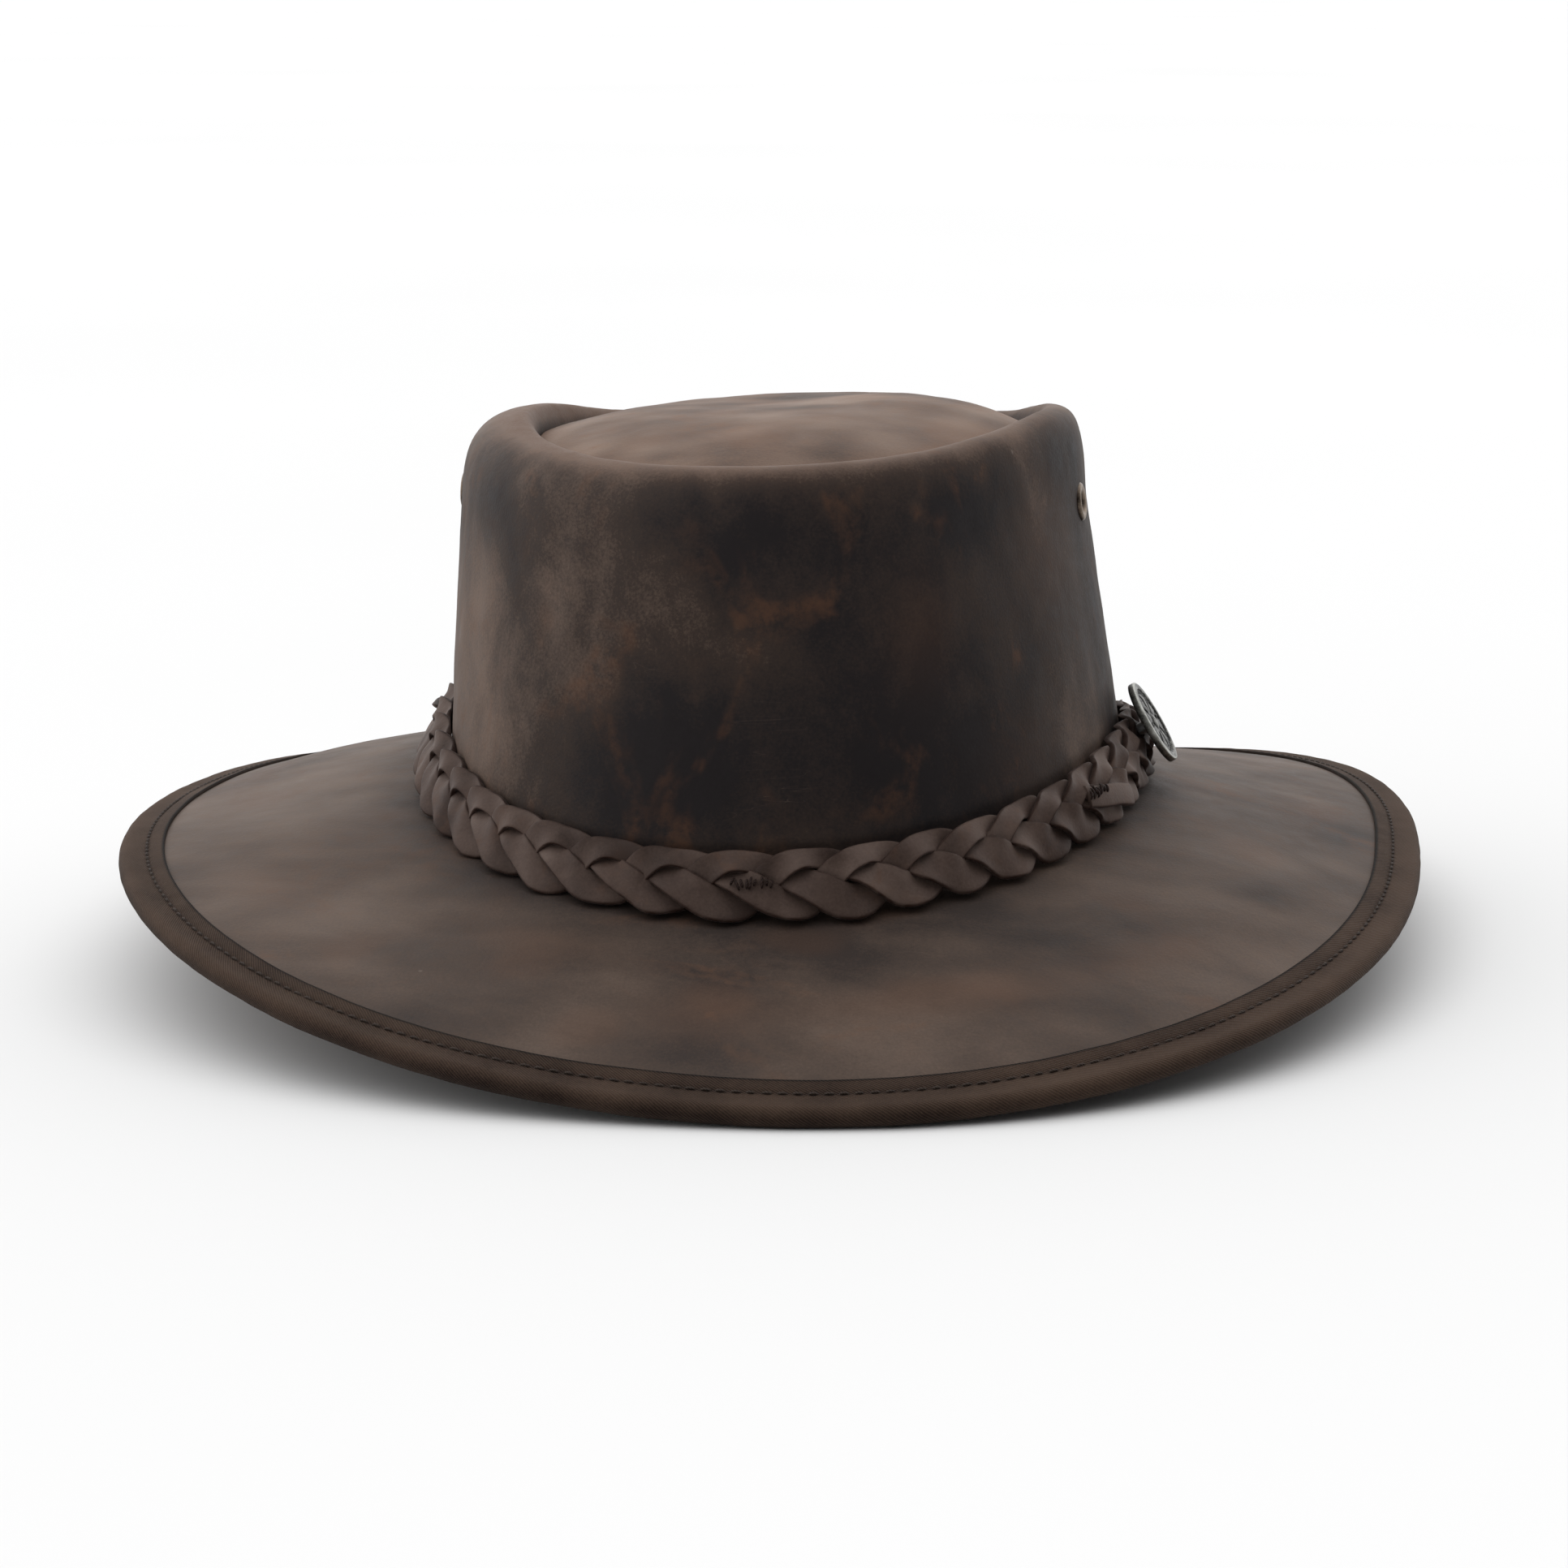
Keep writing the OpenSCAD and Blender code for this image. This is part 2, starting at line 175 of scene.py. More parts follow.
def brim_z(t, r):
    """Height of the middle of the brim's leather."""
    s = (r - seam_r(t)) / (edge_r(t) - seam_r(t))
    return mix(seam_z(t) - LEATHER / 2, edge_z(t), 0.75 * s + 0.25 * s * s)


def dome_z(t, s):
    """Top of the tip panel at share s of its radius."""
    return mix(trough_z(t) + 1.6, TIP_PEAK, 1 - s ** 4) + 6 * s * (1 - s) * cos(t)


ALL_ROUND = np.arange(720) / 2.0
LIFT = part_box("crown_side")[1].z / MM - crest_z(ALL_ROUND).max()


def place(t, r, z):
    return np.stack(np.broadcast_arrays(r * cos(t), r * sin(t), z + LIFT), -1)


def waves(p, size, seed):
    """Even, random hills and hollows about `size` across, near 0 with a spread of 1."""
    rng = np.random.default_rng(seed)
    count = 24
    total = 0
    for _ in range(count):
        direction = unit(rng.normal(size=3)) * rng.uniform(0.6, 1.5)
        total = total + np.cos(p @ direction * (2 * math.pi / size) + rng.uniform(0, 2 * math.pi))
    return total * math.sqrt(2 / count)


# ---- meshes ----

def mesh_object(name, verts, faces, uvs=None, values=None):
    mesh = bpy.data.meshes.new(name)
    mesh.from_pydata((verts * MM).tolist(), [], faces)
    mesh.polygons.foreach_set("use_smooth", [True] * len(mesh.polygons))
    if uvs is not None:
        layer = mesh.uv_layers.new(name="UVMap")
        layer.data.foreach_set("uv", np.asarray(uvs, np.float32).ravel())
    for key, value in (values or {}).items():
        attribute = mesh.attributes.new(key, "FLOAT", "POINT")
        attribute.data.foreach_set("value", np.asarray(value, np.float32))
    mesh.update()
    piece = bpy.data.objects.new(name, mesh)
    bpy.context.scene.collection.objects.link(piece)
    return piece


def grid_object(name, grid, wrap_u=True, wrap_v=True, values=None):
    """A skin over rows of points. Its UVs are lengths in millimetres along the rows and across them."""
    n, m = grid.shape[:2]
    i, j = np.meshgrid(np.arange(n if wrap_u else n - 1), np.arange(m if wrap_v else m - 1), indexing="ij")
    i, j = i.ravel(), j.ravel()
    k, l = (i + 1) % n, (j + 1) % m
    faces = np.stack([i * m + j, k * m + j, k * m + l, i * m + l], 1).tolist()
    along = np.linalg.norm(np.roll(grid, -1, 0) - grid, axis=-1).mean(1)
    across = np.linalg.norm(np.roll(grid, -1, 1) - grid, axis=-1).mean(0)
    u = np.concatenate([[0], np.cumsum(along)])
    v = np.concatenate([[0], np.cumsum(across)])
    uvs = np.stack([u[i], v[j], u[i + 1], v[j], u[i + 1], v[j + 1], u[i], v[j + 1]], 1)
    flat = {key: np.broadcast_to(value, (n, m)).ravel() for key, value in (values or {}).items()}
    return mesh_object(name, grid.reshape(-1, 3), faces, uvs.reshape(-1, 2), flat)


def lengths(points):
    """Distance along a row of points, from the first to each."""
    return np.concatenate([[0], np.cumsum(np.linalg.norm(np.diff(points, axis=0), axis=1))])


def path_normals(path):
    along = unit(np.gradient(path, axis=1))
    return np.stack([along[..., 1], -along[..., 0]], -1)


def soften(path, passes):
    for _ in range(passes):
        path = path.copy()
        path[:, 1:-1] = (path[:, :-2] + 2 * path[:, 1:-1] + path[:, 2:]) / 4
    return path


def sheet_section(path, thickness, steps=4, bulge=0.45):
    """Closed sections of a sheet whose outer face follows the path, with rounded ends."""
    out = path_normals(path)
    inner = path - out * thickness
    along = np.stack([-out[..., 1], out[..., 0]], -1)
    middle = (path + inner) / 2
    turn = np.linspace(90, -90, steps + 2)[1:-1]

    def end(at, sign):
        c, o, a = middle[:, at, None], out[:, at, None], along[:, at, None] * sign
        s = np.sign(sin(turn)) * np.abs(sin(turn)) ** 0.6
        return c + thickness / 2 * (o * s[:, None] + a * (np.abs(cos(turn)) ** 0.8 * bulge * 2)[:, None])

    return np.concatenate([path, end(-1, 1), inner[:, ::-1], end(0, -1)[:, ::-1]], axis=1)


def points_of(section, t):
    """Angle, radius and height of every point of the sections that stand at the angles t."""
    return np.broadcast_to(t[:, None], section.shape[:2]), section[..., 0], section[..., 1]


def bezier(points, u):
    a, b, c, d = (p[:, None, :] for p in points)
    u = u[None, :, None]
    return a * (1 - u) ** 3 + 3 * b * u * (1 - u) ** 2 + 3 * c * u * u * (1 - u) + d * u ** 3


def lathe(name, profile, around, axis, centre, values=None, closed=True):
    """A round piece turned about an axis: profile rows are (radius, height along the axis)."""
    axis = Vector(axis).normalized()
    x = axis.cross(Vector((0, 0, 1))).normalized()
    y = axis.cross(x)
    a = angles(around)[:, None]
    prof = np.asarray(profile, float)
    r, h = prof[None, :, 0], prof[None, :, 1]
    grid = centre + (r * cos(a))[..., None] * np.array(x) + (r * sin(a))[..., None] * np.array(y)
    return grid_object(name, grid + h[..., None] * np.array(axis), wrap_v=closed, values=values)


def edit_mesh(piece, change):
    """Runs change(bm) on the piece's mesh."""
    bm = bmesh.new()
    bm.from_mesh(piece.data)
    change(bm)
    bm.to_mesh(piece.data)
    bm.free()


def turn_faces_out(piece):
    edit_mesh(piece, lambda bm: bmesh.ops.recalc_face_normals(bm, faces=bm.faces))


def close_poles(piece):
    """Joins the points that meet on the middle axis."""
    edit_mesh(piece, lambda bm: bmesh.ops.remove_doubles(bm, verts=bm.verts, dist=0.01 * MM))


def fill_ends(piece):
    edit_mesh(piece, lambda bm: bmesh.ops.holes_fill(bm, edges=[e for e in bm.edges if e.is_boundary],
                                                     sides=0))


def finish_piece(piece, body, slot, material, *nodes):
    turn_faces_out(piece)
    piece.data.materials.append(material)
    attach(piece, body)
    if nodes:
        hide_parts(*nodes)
    return piece


# ---- node materials ----

class Nodes:
    """A material's node tree, and a short way to add nodes and join them."""

    def __init__(self, name):
        self.material = bpy.data.materials.new(name)
        self.material.use_nodes = True
        self.tree = self.material.node_tree
        self.tree.nodes.clear()
        output = self.tree.nodes.new("ShaderNodeOutputMaterial")
        self.surface = self.tree.nodes.new("ShaderNodeBsdfPrincipled")
        self.tree.links.new(self.surface.outputs[0], output.inputs[0])

    def put(self, node, values):
        for key, value in values.items():
            if isinstance(value, bpy.types.NodeSocket):
                self.tree.links.new(value, node.inputs[key])
            else:
                node.inputs[key].default_value = value

    def add(self, kind, values=None, **settings):
        node = self.tree.nodes.new(kind)
        for key, value in settings.items():
            setattr(node, key, value)
        self.put(node, values or {})
        return node

    def math(self, operation, a, b=0.0, c=0.0, clamp=False):
        return self.add("ShaderNodeMath", {0: a, 1: b, 2: c}, operation=operation,
                        use_clamp=clamp).outputs[0]

    def span(self, value, a, b, c=0.0, d=1.0):
        return self.add("ShaderNodeMapRange", {"Value": value, "From Min": a, "From Max": b, "To Min": c,
                                               "To Max": d}, interpolation_type="SMOOTHSTEP").outputs[0]

    def millimetres(self, stretch=(1, 1, 1)):
        """The piece's own coordinates in millimetres, stretched where asked."""
        coords = self.add("ShaderNodeTexCoord").outputs["Object"]
        scale = tuple(s / MM for s in stretch)
        return self.add("ShaderNodeVectorMath", {0: coords, 1: scale}, operation="MULTIPLY").outputs[0]

    def noise(self, at, size, detail=2.0, roughness=0.5, twist=0.0):
        return self.add("ShaderNodeTexNoise", {"Vector": at, "Scale": 1 / size, "Detail": detail,
                                               "Roughness": roughness, "Distortion": twist}).outputs["Fac"]

    def cells(self, at, size, feature="F1"):
        return self.add("ShaderNodeTexVoronoi", {"Vector": at, "Scale": 1 / size},
                        feature=feature).outputs["Distance"]

    def value(self, name):
        return self.add("ShaderNodeAttribute", attribute_name=name).outputs["Fac"]

    def ramp(self, value, stops):
        node = self.add("ShaderNodeValToRGB", {"Fac": value})
        elements = node.color_ramp.elements
        while len(elements) < len(stops):
            elements.new(0.5)
        for element, (at, colour) in zip(elements, stops):
            element.position = at
            element.color = (*colour, 1)
        return node.outputs["Color"]

    def blend(self, share, a, b):
        """Colour a where share is 0 and b where it is 1; each colour is a socket or red, green, blue."""
        a, b = (c if isinstance(c, bpy.types.NodeSocket) else (*c, 1) for c in (a, b))
        return self.add("ShaderNodeMix", {0: share, 6: a, 7: b}, data_type="RGBA").outputs[2]

    def bump(self, height, depth, strength):
        values = {"Height": height, "Distance": depth * MM, "Strength": strength}
        return self.add("ShaderNodeBump", values).outputs[0]

    def added(self, base, *parts):
        """The base value, plus each (value, share) measured from its middle, 0.5."""
        for value, share in parts:
            away = self.math("SUBTRACT", value, 0.5)
            base = self.math("ADD", base, self.math("MULTIPLY", away, share))
        return base

    def mean(self, a, b):
        return self.math("ADD", self.math("MULTIPLY", a, 0.5), self.math("MULTIPLY", b, 0.5))

    def uv(self):
        """Lengths in millimetres along a piece and across it."""
        coords = self.add("ShaderNodeTexCoord").outputs["UV"]
        return self.add("ShaderNodeSeparateXYZ", {0: coords}).outputs


def oiled_leather(name, dark, middle, light, rust, patch_size, seed, stretch=(1, 1, 1), sheen=0.0,
                  cut=(0.16, 0.11, 0.075)):
    """Matt pull-up leather: cloudy light and dark patches, rusty rubs, fine grain, specks and scratches."""
    n = Nodes(name)
    shift = (seed * 71.0, seed * 37.0, seed * 53.0)
    at = n.add("ShaderNodeVectorMath", {0: n.millimetres(), 1: shift}).outputs[0]
    drawn = n.add("ShaderNodeVectorMath", {0: n.millimetres(stretch), 1: shift}).outputs[0]
    clouds = n.noise(drawn, patch_size, 3, 0.5, 0.4)
    patches = n.noise(drawn, patch_size / 3.2, 4, 0.6, 0.5)
    mottle = n.noise(at, 4.5, 4, 0.65)
    grain = n.noise(at, 0.7, 3, 0.7)
    # The piece's tone values hold its own mottling and, on the crown, tip and brim, painted light and shade
    # as well.
    tone = n.math("MULTIPLY_ADD", n.value("tone"), 0.30, 0.5)
    tone = n.added(tone, (clouds, 1.1), (patches, 0.65), (mottle, 0.30), (grain, 0.50))
    colour = n.ramp(tone, [(0.12, dark), (0.5, middle), (0.92, light)])

    rubbed = n.span(n.noise(drawn, patch_size / 2.3, 3, 0.6, 1.0), 0.52, 0.74)
    rubbed = n.math("MULTIPLY", rubbed, n.span(mottle, 0.30, 0.66))
    rubbed = n.math("MAXIMUM", n.math("MULTIPLY", rubbed, 0.5), n.math("MULTIPLY", n.value("rub"), 0.45))
    colour = n.blend(rubbed, colour, rust)

    speck = n.math("MULTIPLY", n.span(n.cells(at, 19), 0.045, 0.015), n.span(patches, 0.56, 0.62))
    colour = n.blend(n.math("MULTIPLY", speck, 0.5), colour, (0.24, 0.20, 0.17))
    sidelong = n.add("ShaderNodeVectorMath", {0: at, 1: (0.08, 0.6, 1.0)}, operation="MULTIPLY")
    lines = n.noise(sidelong.outputs[0], 7, 2, 0.4, 1.4)
    scratch = n.span(n.math("ABSOLUTE", n.math("SUBTRACT", lines, 0.5)), 0.0040, 0.001)
    scratch = n.math("MULTIPLY", scratch, n.span(clouds, 0.52, 0.66))
    colour = n.blend(n.math("MULTIPLY", scratch, 0.20), colour, light)
    colour = n.blend(n.value("cut"), colour, cut)

    pores = n.cells(at, 0.75, "SMOOTH_F1")
    height = n.math("ADD", n.math("MULTIPLY", pores, 0.6), n.math("MULTIPLY", grain, 0.7))
    height = n.math("ADD", height, n.math("MULTIPLY", mottle, 0.4))
    normal = n.bump(height, 0.12, 0.55)
    rough = n.span(n.mean(mottle, grain), 0.3, 0.7, 0.56, 0.72)
    n.put(n.surface, {"Base Color": colour, "Roughness": rough, "Normal": normal,
                      "Specular IOR Level": 0.15, "Sheen Weight": sheen, "Sheen Roughness": 0.45})
    return n.material


def twill_tape(name, dark, light):
    """Fine diagonal twill, woven along the edge; worn paler on its high ribs, and near black along its inner
    fold: the tape's dark folded edge, with painted shadow where it stands off the leather.
    """
    n = Nodes(name)
    rib_pitch, pick_pitch = 0.95, 0.46
    mm = n.millimetres()
    uv = n.uv()
    wobble = n.math("MULTIPLY", n.noise(mm, 3.5, 2), 0.55)
    slant = n.math("ADD", n.math("MULTIPLY_ADD", uv[1], 1.35, uv[0]), wobble)
    ribs = n.math("SINE", n.math("MULTIPLY", slant, 2 * math.pi / rib_pitch))
    picks = n.math("SINE", n.math("MULTIPLY", n.math("SUBTRACT", uv[0], uv[1]), 2 * math.pi / pick_pitch))
    weave = n.math("ADD", n.math("MULTIPLY", ribs, 0.7), n.math("MULTIPLY", picks, 0.3))
    cloudy = n.noise(mm, 26, 4, 0.6)
    fluff = n.noise(mm, 0.7, 3, 0.7)
    tone = n.added(n.math("MULTIPLY_ADD", weave, 0.24, 0.5), (cloudy, 1.1), (fluff, 0.5))
    # The tape's tone values carry painted light and shade as well as its own cloudiness.
    tone = n.math("ADD", tone, n.math("MULTIPLY", n.value("tone"), 0.3))
    colour = n.ramp(tone, [(0.1, dark), (0.9, light)])
    colour = n.blend(n.value("edge_fold_shade"), colour, (0.008, 0.006, 0.005))
    normal = n.bump(n.math("ADD", weave, n.math("MULTIPLY", fluff, 0.6)), 0.10, 0.8)
    n.put(n.surface, {"Base Color": colour, "Roughness": 0.82, "Normal": normal,
                      "Specular IOR Level": 0.08, "Sheen Weight": 0.03, "Sheen Roughness": 0.5})
    return n.material


def twisted_thread(name, dark, light):
    """Thread with its plies running round it at a slant."""
    n = Nodes(name)
    uv = n.uv()
    slant = n.math("ADD", uv[0], n.math("MULTIPLY", uv[1], 0.8))
    twist = n.math("SINE", n.math("MULTIPLY", slant, 9.5))
    fibre = n.noise(n.millimetres(), 0.35, 3, 0.7)
    tone = n.math("ADD", n.math("MULTIPLY_ADD", twist, 0.22, 0.28), n.math("MULTIPLY", fibre, 0.5))
    n.put(n.surface, {"Base Color": n.ramp(tone, [(0.1, dark), (0.9, light)]), "Roughness": 0.7,
                      "Normal": n.bump(twist, 0.06, 0.7), "Specular IOR Level": 0.25})
    return n.material


def worn_metal(name, dark, bright):
    """Antiqued metal: tarnish in the hollows, bright where it's rubbed and where a glint is painted, with
    fine scratches.
    """
    n = Nodes(name)
    mm = n.millimetres()
    stain = n.noise(mm, 2.6, 5, 0.65, 0.3)
    fine = n.noise(mm, 0.35, 3, 0.6)
    lines = n.noise(n.millimetres((1.0, 6.0, 1.0)), 0.6, 2, 0.5)
    share = n.added(n.value("wear_and_glint"), (stain, 1.3), (fine, 0.7))
    colour = n.blend(n.math("ADD", share, 0.0, clamp=True), dark, bright)
    roughness = n.span(n.mean(fine, lines), 0.3, 0.7, 0.28, 0.62)
    n.put(n.surface, {"Base Color": colour, "Metallic": 1.0, "Roughness": roughness,
                      "Normal": n.bump(n.math("ADD", fine, lines), 0.03, 0.5)})
    return n.material


def woven_cotton(name, dark, light):
    """Plain close weave of the sweatband."""
    n = Nodes(name)
    warp_pitch, weft_pitch = 0.9, 0.7
    mm = n.millimetres()
    uv = n.uv()
    warp = n.math("SINE", n.math("MULTIPLY", uv[0], 2 * math.pi / warp_pitch))
    weft = n.math("SINE", n.math("MULTIPLY", uv[1], 2 * math.pi / weft_pitch))
    weave = n.math("MULTIPLY", warp, weft)
    fluff = n.noise(mm, 0.9, 4, 0.7)
    cloudy = n.noise(mm, 30, 3)
    tone = n.math("ADD", n.math("MULTIPLY_ADD", weave, 0.2, 0.25), n.math("MULTIPLY", fluff, 0.25))
    tone = n.math("ADD", tone, n.math("MULTIPLY", cloudy, 0.25))
    n.put(n.surface, {"Base Color": n.ramp(tone, [(0.1, dark), (0.9, light)]), "Roughness": 0.9,
                      "Normal": n.bump(n.math("ADD", weave, fluff), 0.08, 0.7), "Sheen Weight": 0.35,
                      "Specular IOR Level": 0.15})
    return n.material


CROWN_LEATHER = oiled_leather("crown_leather", (0.015, 0.0120, 0.0128), (0.043, 0.029, 0.0232),
                              (0.150, 0.104, 0.080), (0.115, 0.052, 0.027), 50, 1, (1, 1, 0.7))
# The tip is the same leather as the crown wall in paler colours: partly the panel's own colour, partly
# painted light on a panel that faces up.
TIP_LEATHER_PAINTED_LIGHT = oiled_leather("tip_leather_painted_light", (0.060, 0.038, 0.028), (0.138, 0.089, 0.065),
                            (0.215, 0.150, 0.113), (0.185, 0.090, 0.048), 50, 2, (0.6, 1, 1))
BRIM_LEATHER = oiled_leather("brim_leather", (0.036, 0.0265, 0.0230), (0.078, 0.054, 0.042),
                             (0.138, 0.098, 0.076), (0.128, 0.063, 0.036), 66, 3, (0.5, 1, 1))
# The plait's cut colour is near black: the raw cut edge, and painted shade in the gaps between laces.
PLAIT_LEATHER = oiled_leather("plait_leather", (0.040, 0.025, 0.020), (0.080, 0.053, 0.043),
                              (0.125, 0.088, 0.073), (0.100, 0.052, 0.032), 30, 4, (1, 1, 1), 0.04,
                              (0.024, 0.010, 0.006))
TWILL = twill_tape("binding_twill", (0.013, 0.0072, 0.0054), (0.080, 0.051, 0.036))
THREAD = twisted_thread("waxed_thread", (0.012, 0.007, 0.005), (0.055, 0.037, 0.028))
DARK_THREAD = twisted_thread("tack_thread", (0.007, 0.003, 0.002), (0.030, 0.013, 0.009))
BRONZE = worn_metal("antique_bronze", (0.035, 0.026, 0.021), (0.26, 0.20, 0.15))
SILVER = worn_metal("antique_silver", (0.020, 0.020, 0.019), (0.50, 0.50, 0.46))
STEEL = worn_metal("plated_steel", (0.25, 0.25, 0.25), (0.62, 0.62, 0.63))
BRASS = worn_metal("sleeve_brass", (0.30, 0.20, 0.08), (0.72, 0.55, 0.28))
COTTON = woven_cotton("sweatband_cotton", (0.010, 0.008, 0.007), (0.060, 0.048, 0.040))


# ---- crown ----

def arc(t, at_t, r):
    """Distance round the hat from at_t to t, at radius r."""
    return (np.mod(t - at_t + 180, 360) - 180) * math.pi / 180 * r


def patch(t, z, at_t, at_z, wide, high):
    """1 in the middle of a soft patch on the crown or brim, fading to 0; sizes in millimetres."""
    return np.exp(-(arc(t, at_t, 95) / wide) ** 2 - ((z - at_z) / high) ** 2)


def patches_at(patches, t, z):
    return sum(level * patch(t, z, *where) for *where, level in patches)


# Patches of the crown's wall: angle, height, half width, half height, then how much lighter (+) or
# darker (-) they are. Besides the leather's own mottling, the dark ones across the front, near t = -90,
# are partly painted shade, and the light ones from t = -155 to -115, on the hat's right, are partly
# painted highlight. The rubs are the rust-brown ones.
CROWN_MOTTLE_AND_PAINTED_LIGHT = [(-84, 70, 34, 10, -0.8), (-97, 27, 16, 15, -1.0), (-74, 40, 24, 22, -0.8),
                 (-136, 28, 25, 38, 0.8), (-130, 8, 18, 14, 0.5), (-122, 66, 10, 12, -0.5),
                 (-8, 40, 12, 44, -0.7), (-20, 80, 24, 8, -0.8), (-86, 14, 42, 16, -1.3),
                 (-52, 34, 26, 30, -0.5), (-28, 60, 20, 26, -0.4), (-52, 74, 24, 9, -0.8),
                 (-135, 72, 16, 9, -0.8), (-115, 60, 14, 26, 0.3), (-152, 45, 14, 34, 0.4),
                 (-47, 50, 18, 16, 0.6), (-125, 16, 24, 12, 0.4), (-20, 30, 20, 25, 0.3),
                 (60, 45, 35, 22, -0.7), (120, 55, 30, 20, 0.4), (20, 40, 22, 22, -0.5),
                 (160, 30, 20, 18, -0.6)]
CROWN_RUBS = [(-158, 25, 8, 26, 0.35), (-62, 48, 9, 14, 0.35), (-30, 62, 16, 16, 0.35),
              (-44, 14, 14, 10, 0.25)]
CROWN_FOLDS = [(-148, 40, 22, 34, 1.0), (-114, 55, 12, 28, 0.8)]     # where the wall has upright folds


def crown_profile(t):
    """Outer face of the crown side at each t: up the wall, over the rolled rim, down the trough and hem."""
    up_wall = wall(t[:, None], np.linspace(0, 1, 34)[None])
    a = up_wall[:, -1]
    c = stack(crest_r(t), crest_z(t))
    b = stack(trough_r(t), trough_z(t))
    lean = a - wall(t, 0.8)
    up = unit(stack(lean[:, 0] * sin(t) ** 2, lean[:, 1]))
    full = 0.62 + 0.17 * np.maximum(cos(t), 0) + 0.05 * np.maximum(-cos(t), 0)
    height = (c - a)[:, 1]
    rise = bezier([a, a + up * (height * full)[:, None], stack(mix(c[:, 0], a[:, 0], full), c[:, 1]), c],
                  np.linspace(0, 1, 19)[1:])
    fall = bezier([c, stack(mix(c[:, 0], b[:, 0], 0.6), c[:, 1]),
                   stack(b[:, 0], mix(b[:, 1], c[:, 1], 0.5)), b], np.linspace(0, 1, 17)[1:])
    hem = b[:, None] + np.array([0, -HEM]) * np.linspace(0, 1, 5)[1:, None]
    return soften(np.concatenate([up_wall, rise, fall, hem], 1), 5)


def back_seam(t):
    """Groove where the crown's leather meets itself at the back."""
    away = arc(t, 90, 108)
    return -0.7 * np.exp(-(away / 0.55) ** 2) + 0.35 * np.exp(-(away / 3.2) ** 2)


def crown_side():
    t = angles(900)
    path = crown_profile(t)
    p = place(t[:, None], path[..., 0], path[..., 1])
    z, r = path[..., 1], path[..., 0]
    outside = smooth(r - trough_r(t)[:, None], 0.3, 3)
    free = smooth(z - seam_z(t)[:, None], 0, 14) * outside
    rough = 0.20 * waves(p, 60, 11) + 0.05 * waves(p, 17, 12) + 0.012 * waves(p, 6, 13)
    folds = waves(p * [1, 1, 0.12], 13, 14) * patches_at(CROWN_FOLDS, t[:, None], z)
    lift = free * (rough + 0.12 * folds) + back_seam(t)[:, None] * outside
    path = path + path_normals(path) * lift[..., None]
    section = sheet_section(path, LEATHER, bulge=0.12)
    tt, r, z = points_of(section, t)
    crest = np.exp(-((z - crest_z(tt)) / 4.5) ** 2 - ((r - crest_r(tt)) / 6.5) ** 2)
    # Painted shade: the trough and hem inside the rolled rim are darkened.
    trough_painted_shade = smooth(crest_r(tt) - r, 1.5, 5) * smooth(z, 60, 75)
    # Painted highlight: the top of the wall on the hat's right, towards the bright side of the room, is made
    # paler.
    right_top_painted_light = smooth(z, 62, 84) * np.exp(-((tt - 180) / 45) ** 2)
    tone = patches_at(CROWN_MOTTLE_AND_PAINTED_LIGHT, tt, z) - 1.4 * trough_painted_shade
    tone = tone + (1.7 - 0.7 * cos(tt)) * crest + 0.5 * right_top_painted_light
    rub = (0.75 - 0.25 * cos(tt)) * crest + patches_at(CROWN_RUBS, tt, z)
    piece = grid_object("crown_side", place(tt, r, z), values={"tone": tone, "rub": np.clip(rub, 0, 1),
                                                               "cut": 0.0})
    open_vents(piece)
    return finish_piece(piece, "hat", "crown_leather", CROWN_LEATHER, "crown_side")


VENT_HEIGHT = 68.0
VENTS = {"right": -7.0, "left": -173.0}      # where the vents stand round the hat
VENT_BORE = 2.7      # radius of the hole through the leather


def vent_frame(t):
    """Centre of a vent on the crown's outside, and the way it faces."""
    step = 3.0
    here = place(t, wall_r(t, VENT_HEIGHT), VENT_HEIGHT)
    across = place(t + step, wall_r(t + step, VENT_HEIGHT), VENT_HEIGHT)
    across = across - place(t - step, wall_r(t - step, VENT_HEIGHT), VENT_HEIGHT)
    z = VENT_HEIGHT + np.array([-step, step])
    low, high = place(t, wall_r(t, z), z)
    return here, unit(np.cross(across, high - low))


def open_vents(piece):
    """Cuts a round hole through the leather for each vent."""
    for t in VENTS.values():
        here, axis = vent_frame(t)
        profile = [(0, -8), (VENT_BORE, -8), (VENT_BORE, 8), (0, 8)]
        cutter = lathe("cutter", profile, 48, axis, here, closed=False)
        close_poles(cutter)
        turn_faces_out(cutter)
        modifier = piece.modifiers.new("vent", "BOOLEAN")
        modifier.solver = "MANIFOLD"
        modifier.operation = "DIFFERENCE"
        modifier.object = cutter
        depsgraph = bpy.context.evaluated_depsgraph_get()
        cut = bpy.data.meshes.new_from_object(piece.evaluated_get(depsgraph))
        cut.materials.clear()
        piece.modifiers.clear()
        piece.data = cut
        bpy.data.objects.remove(cutter)


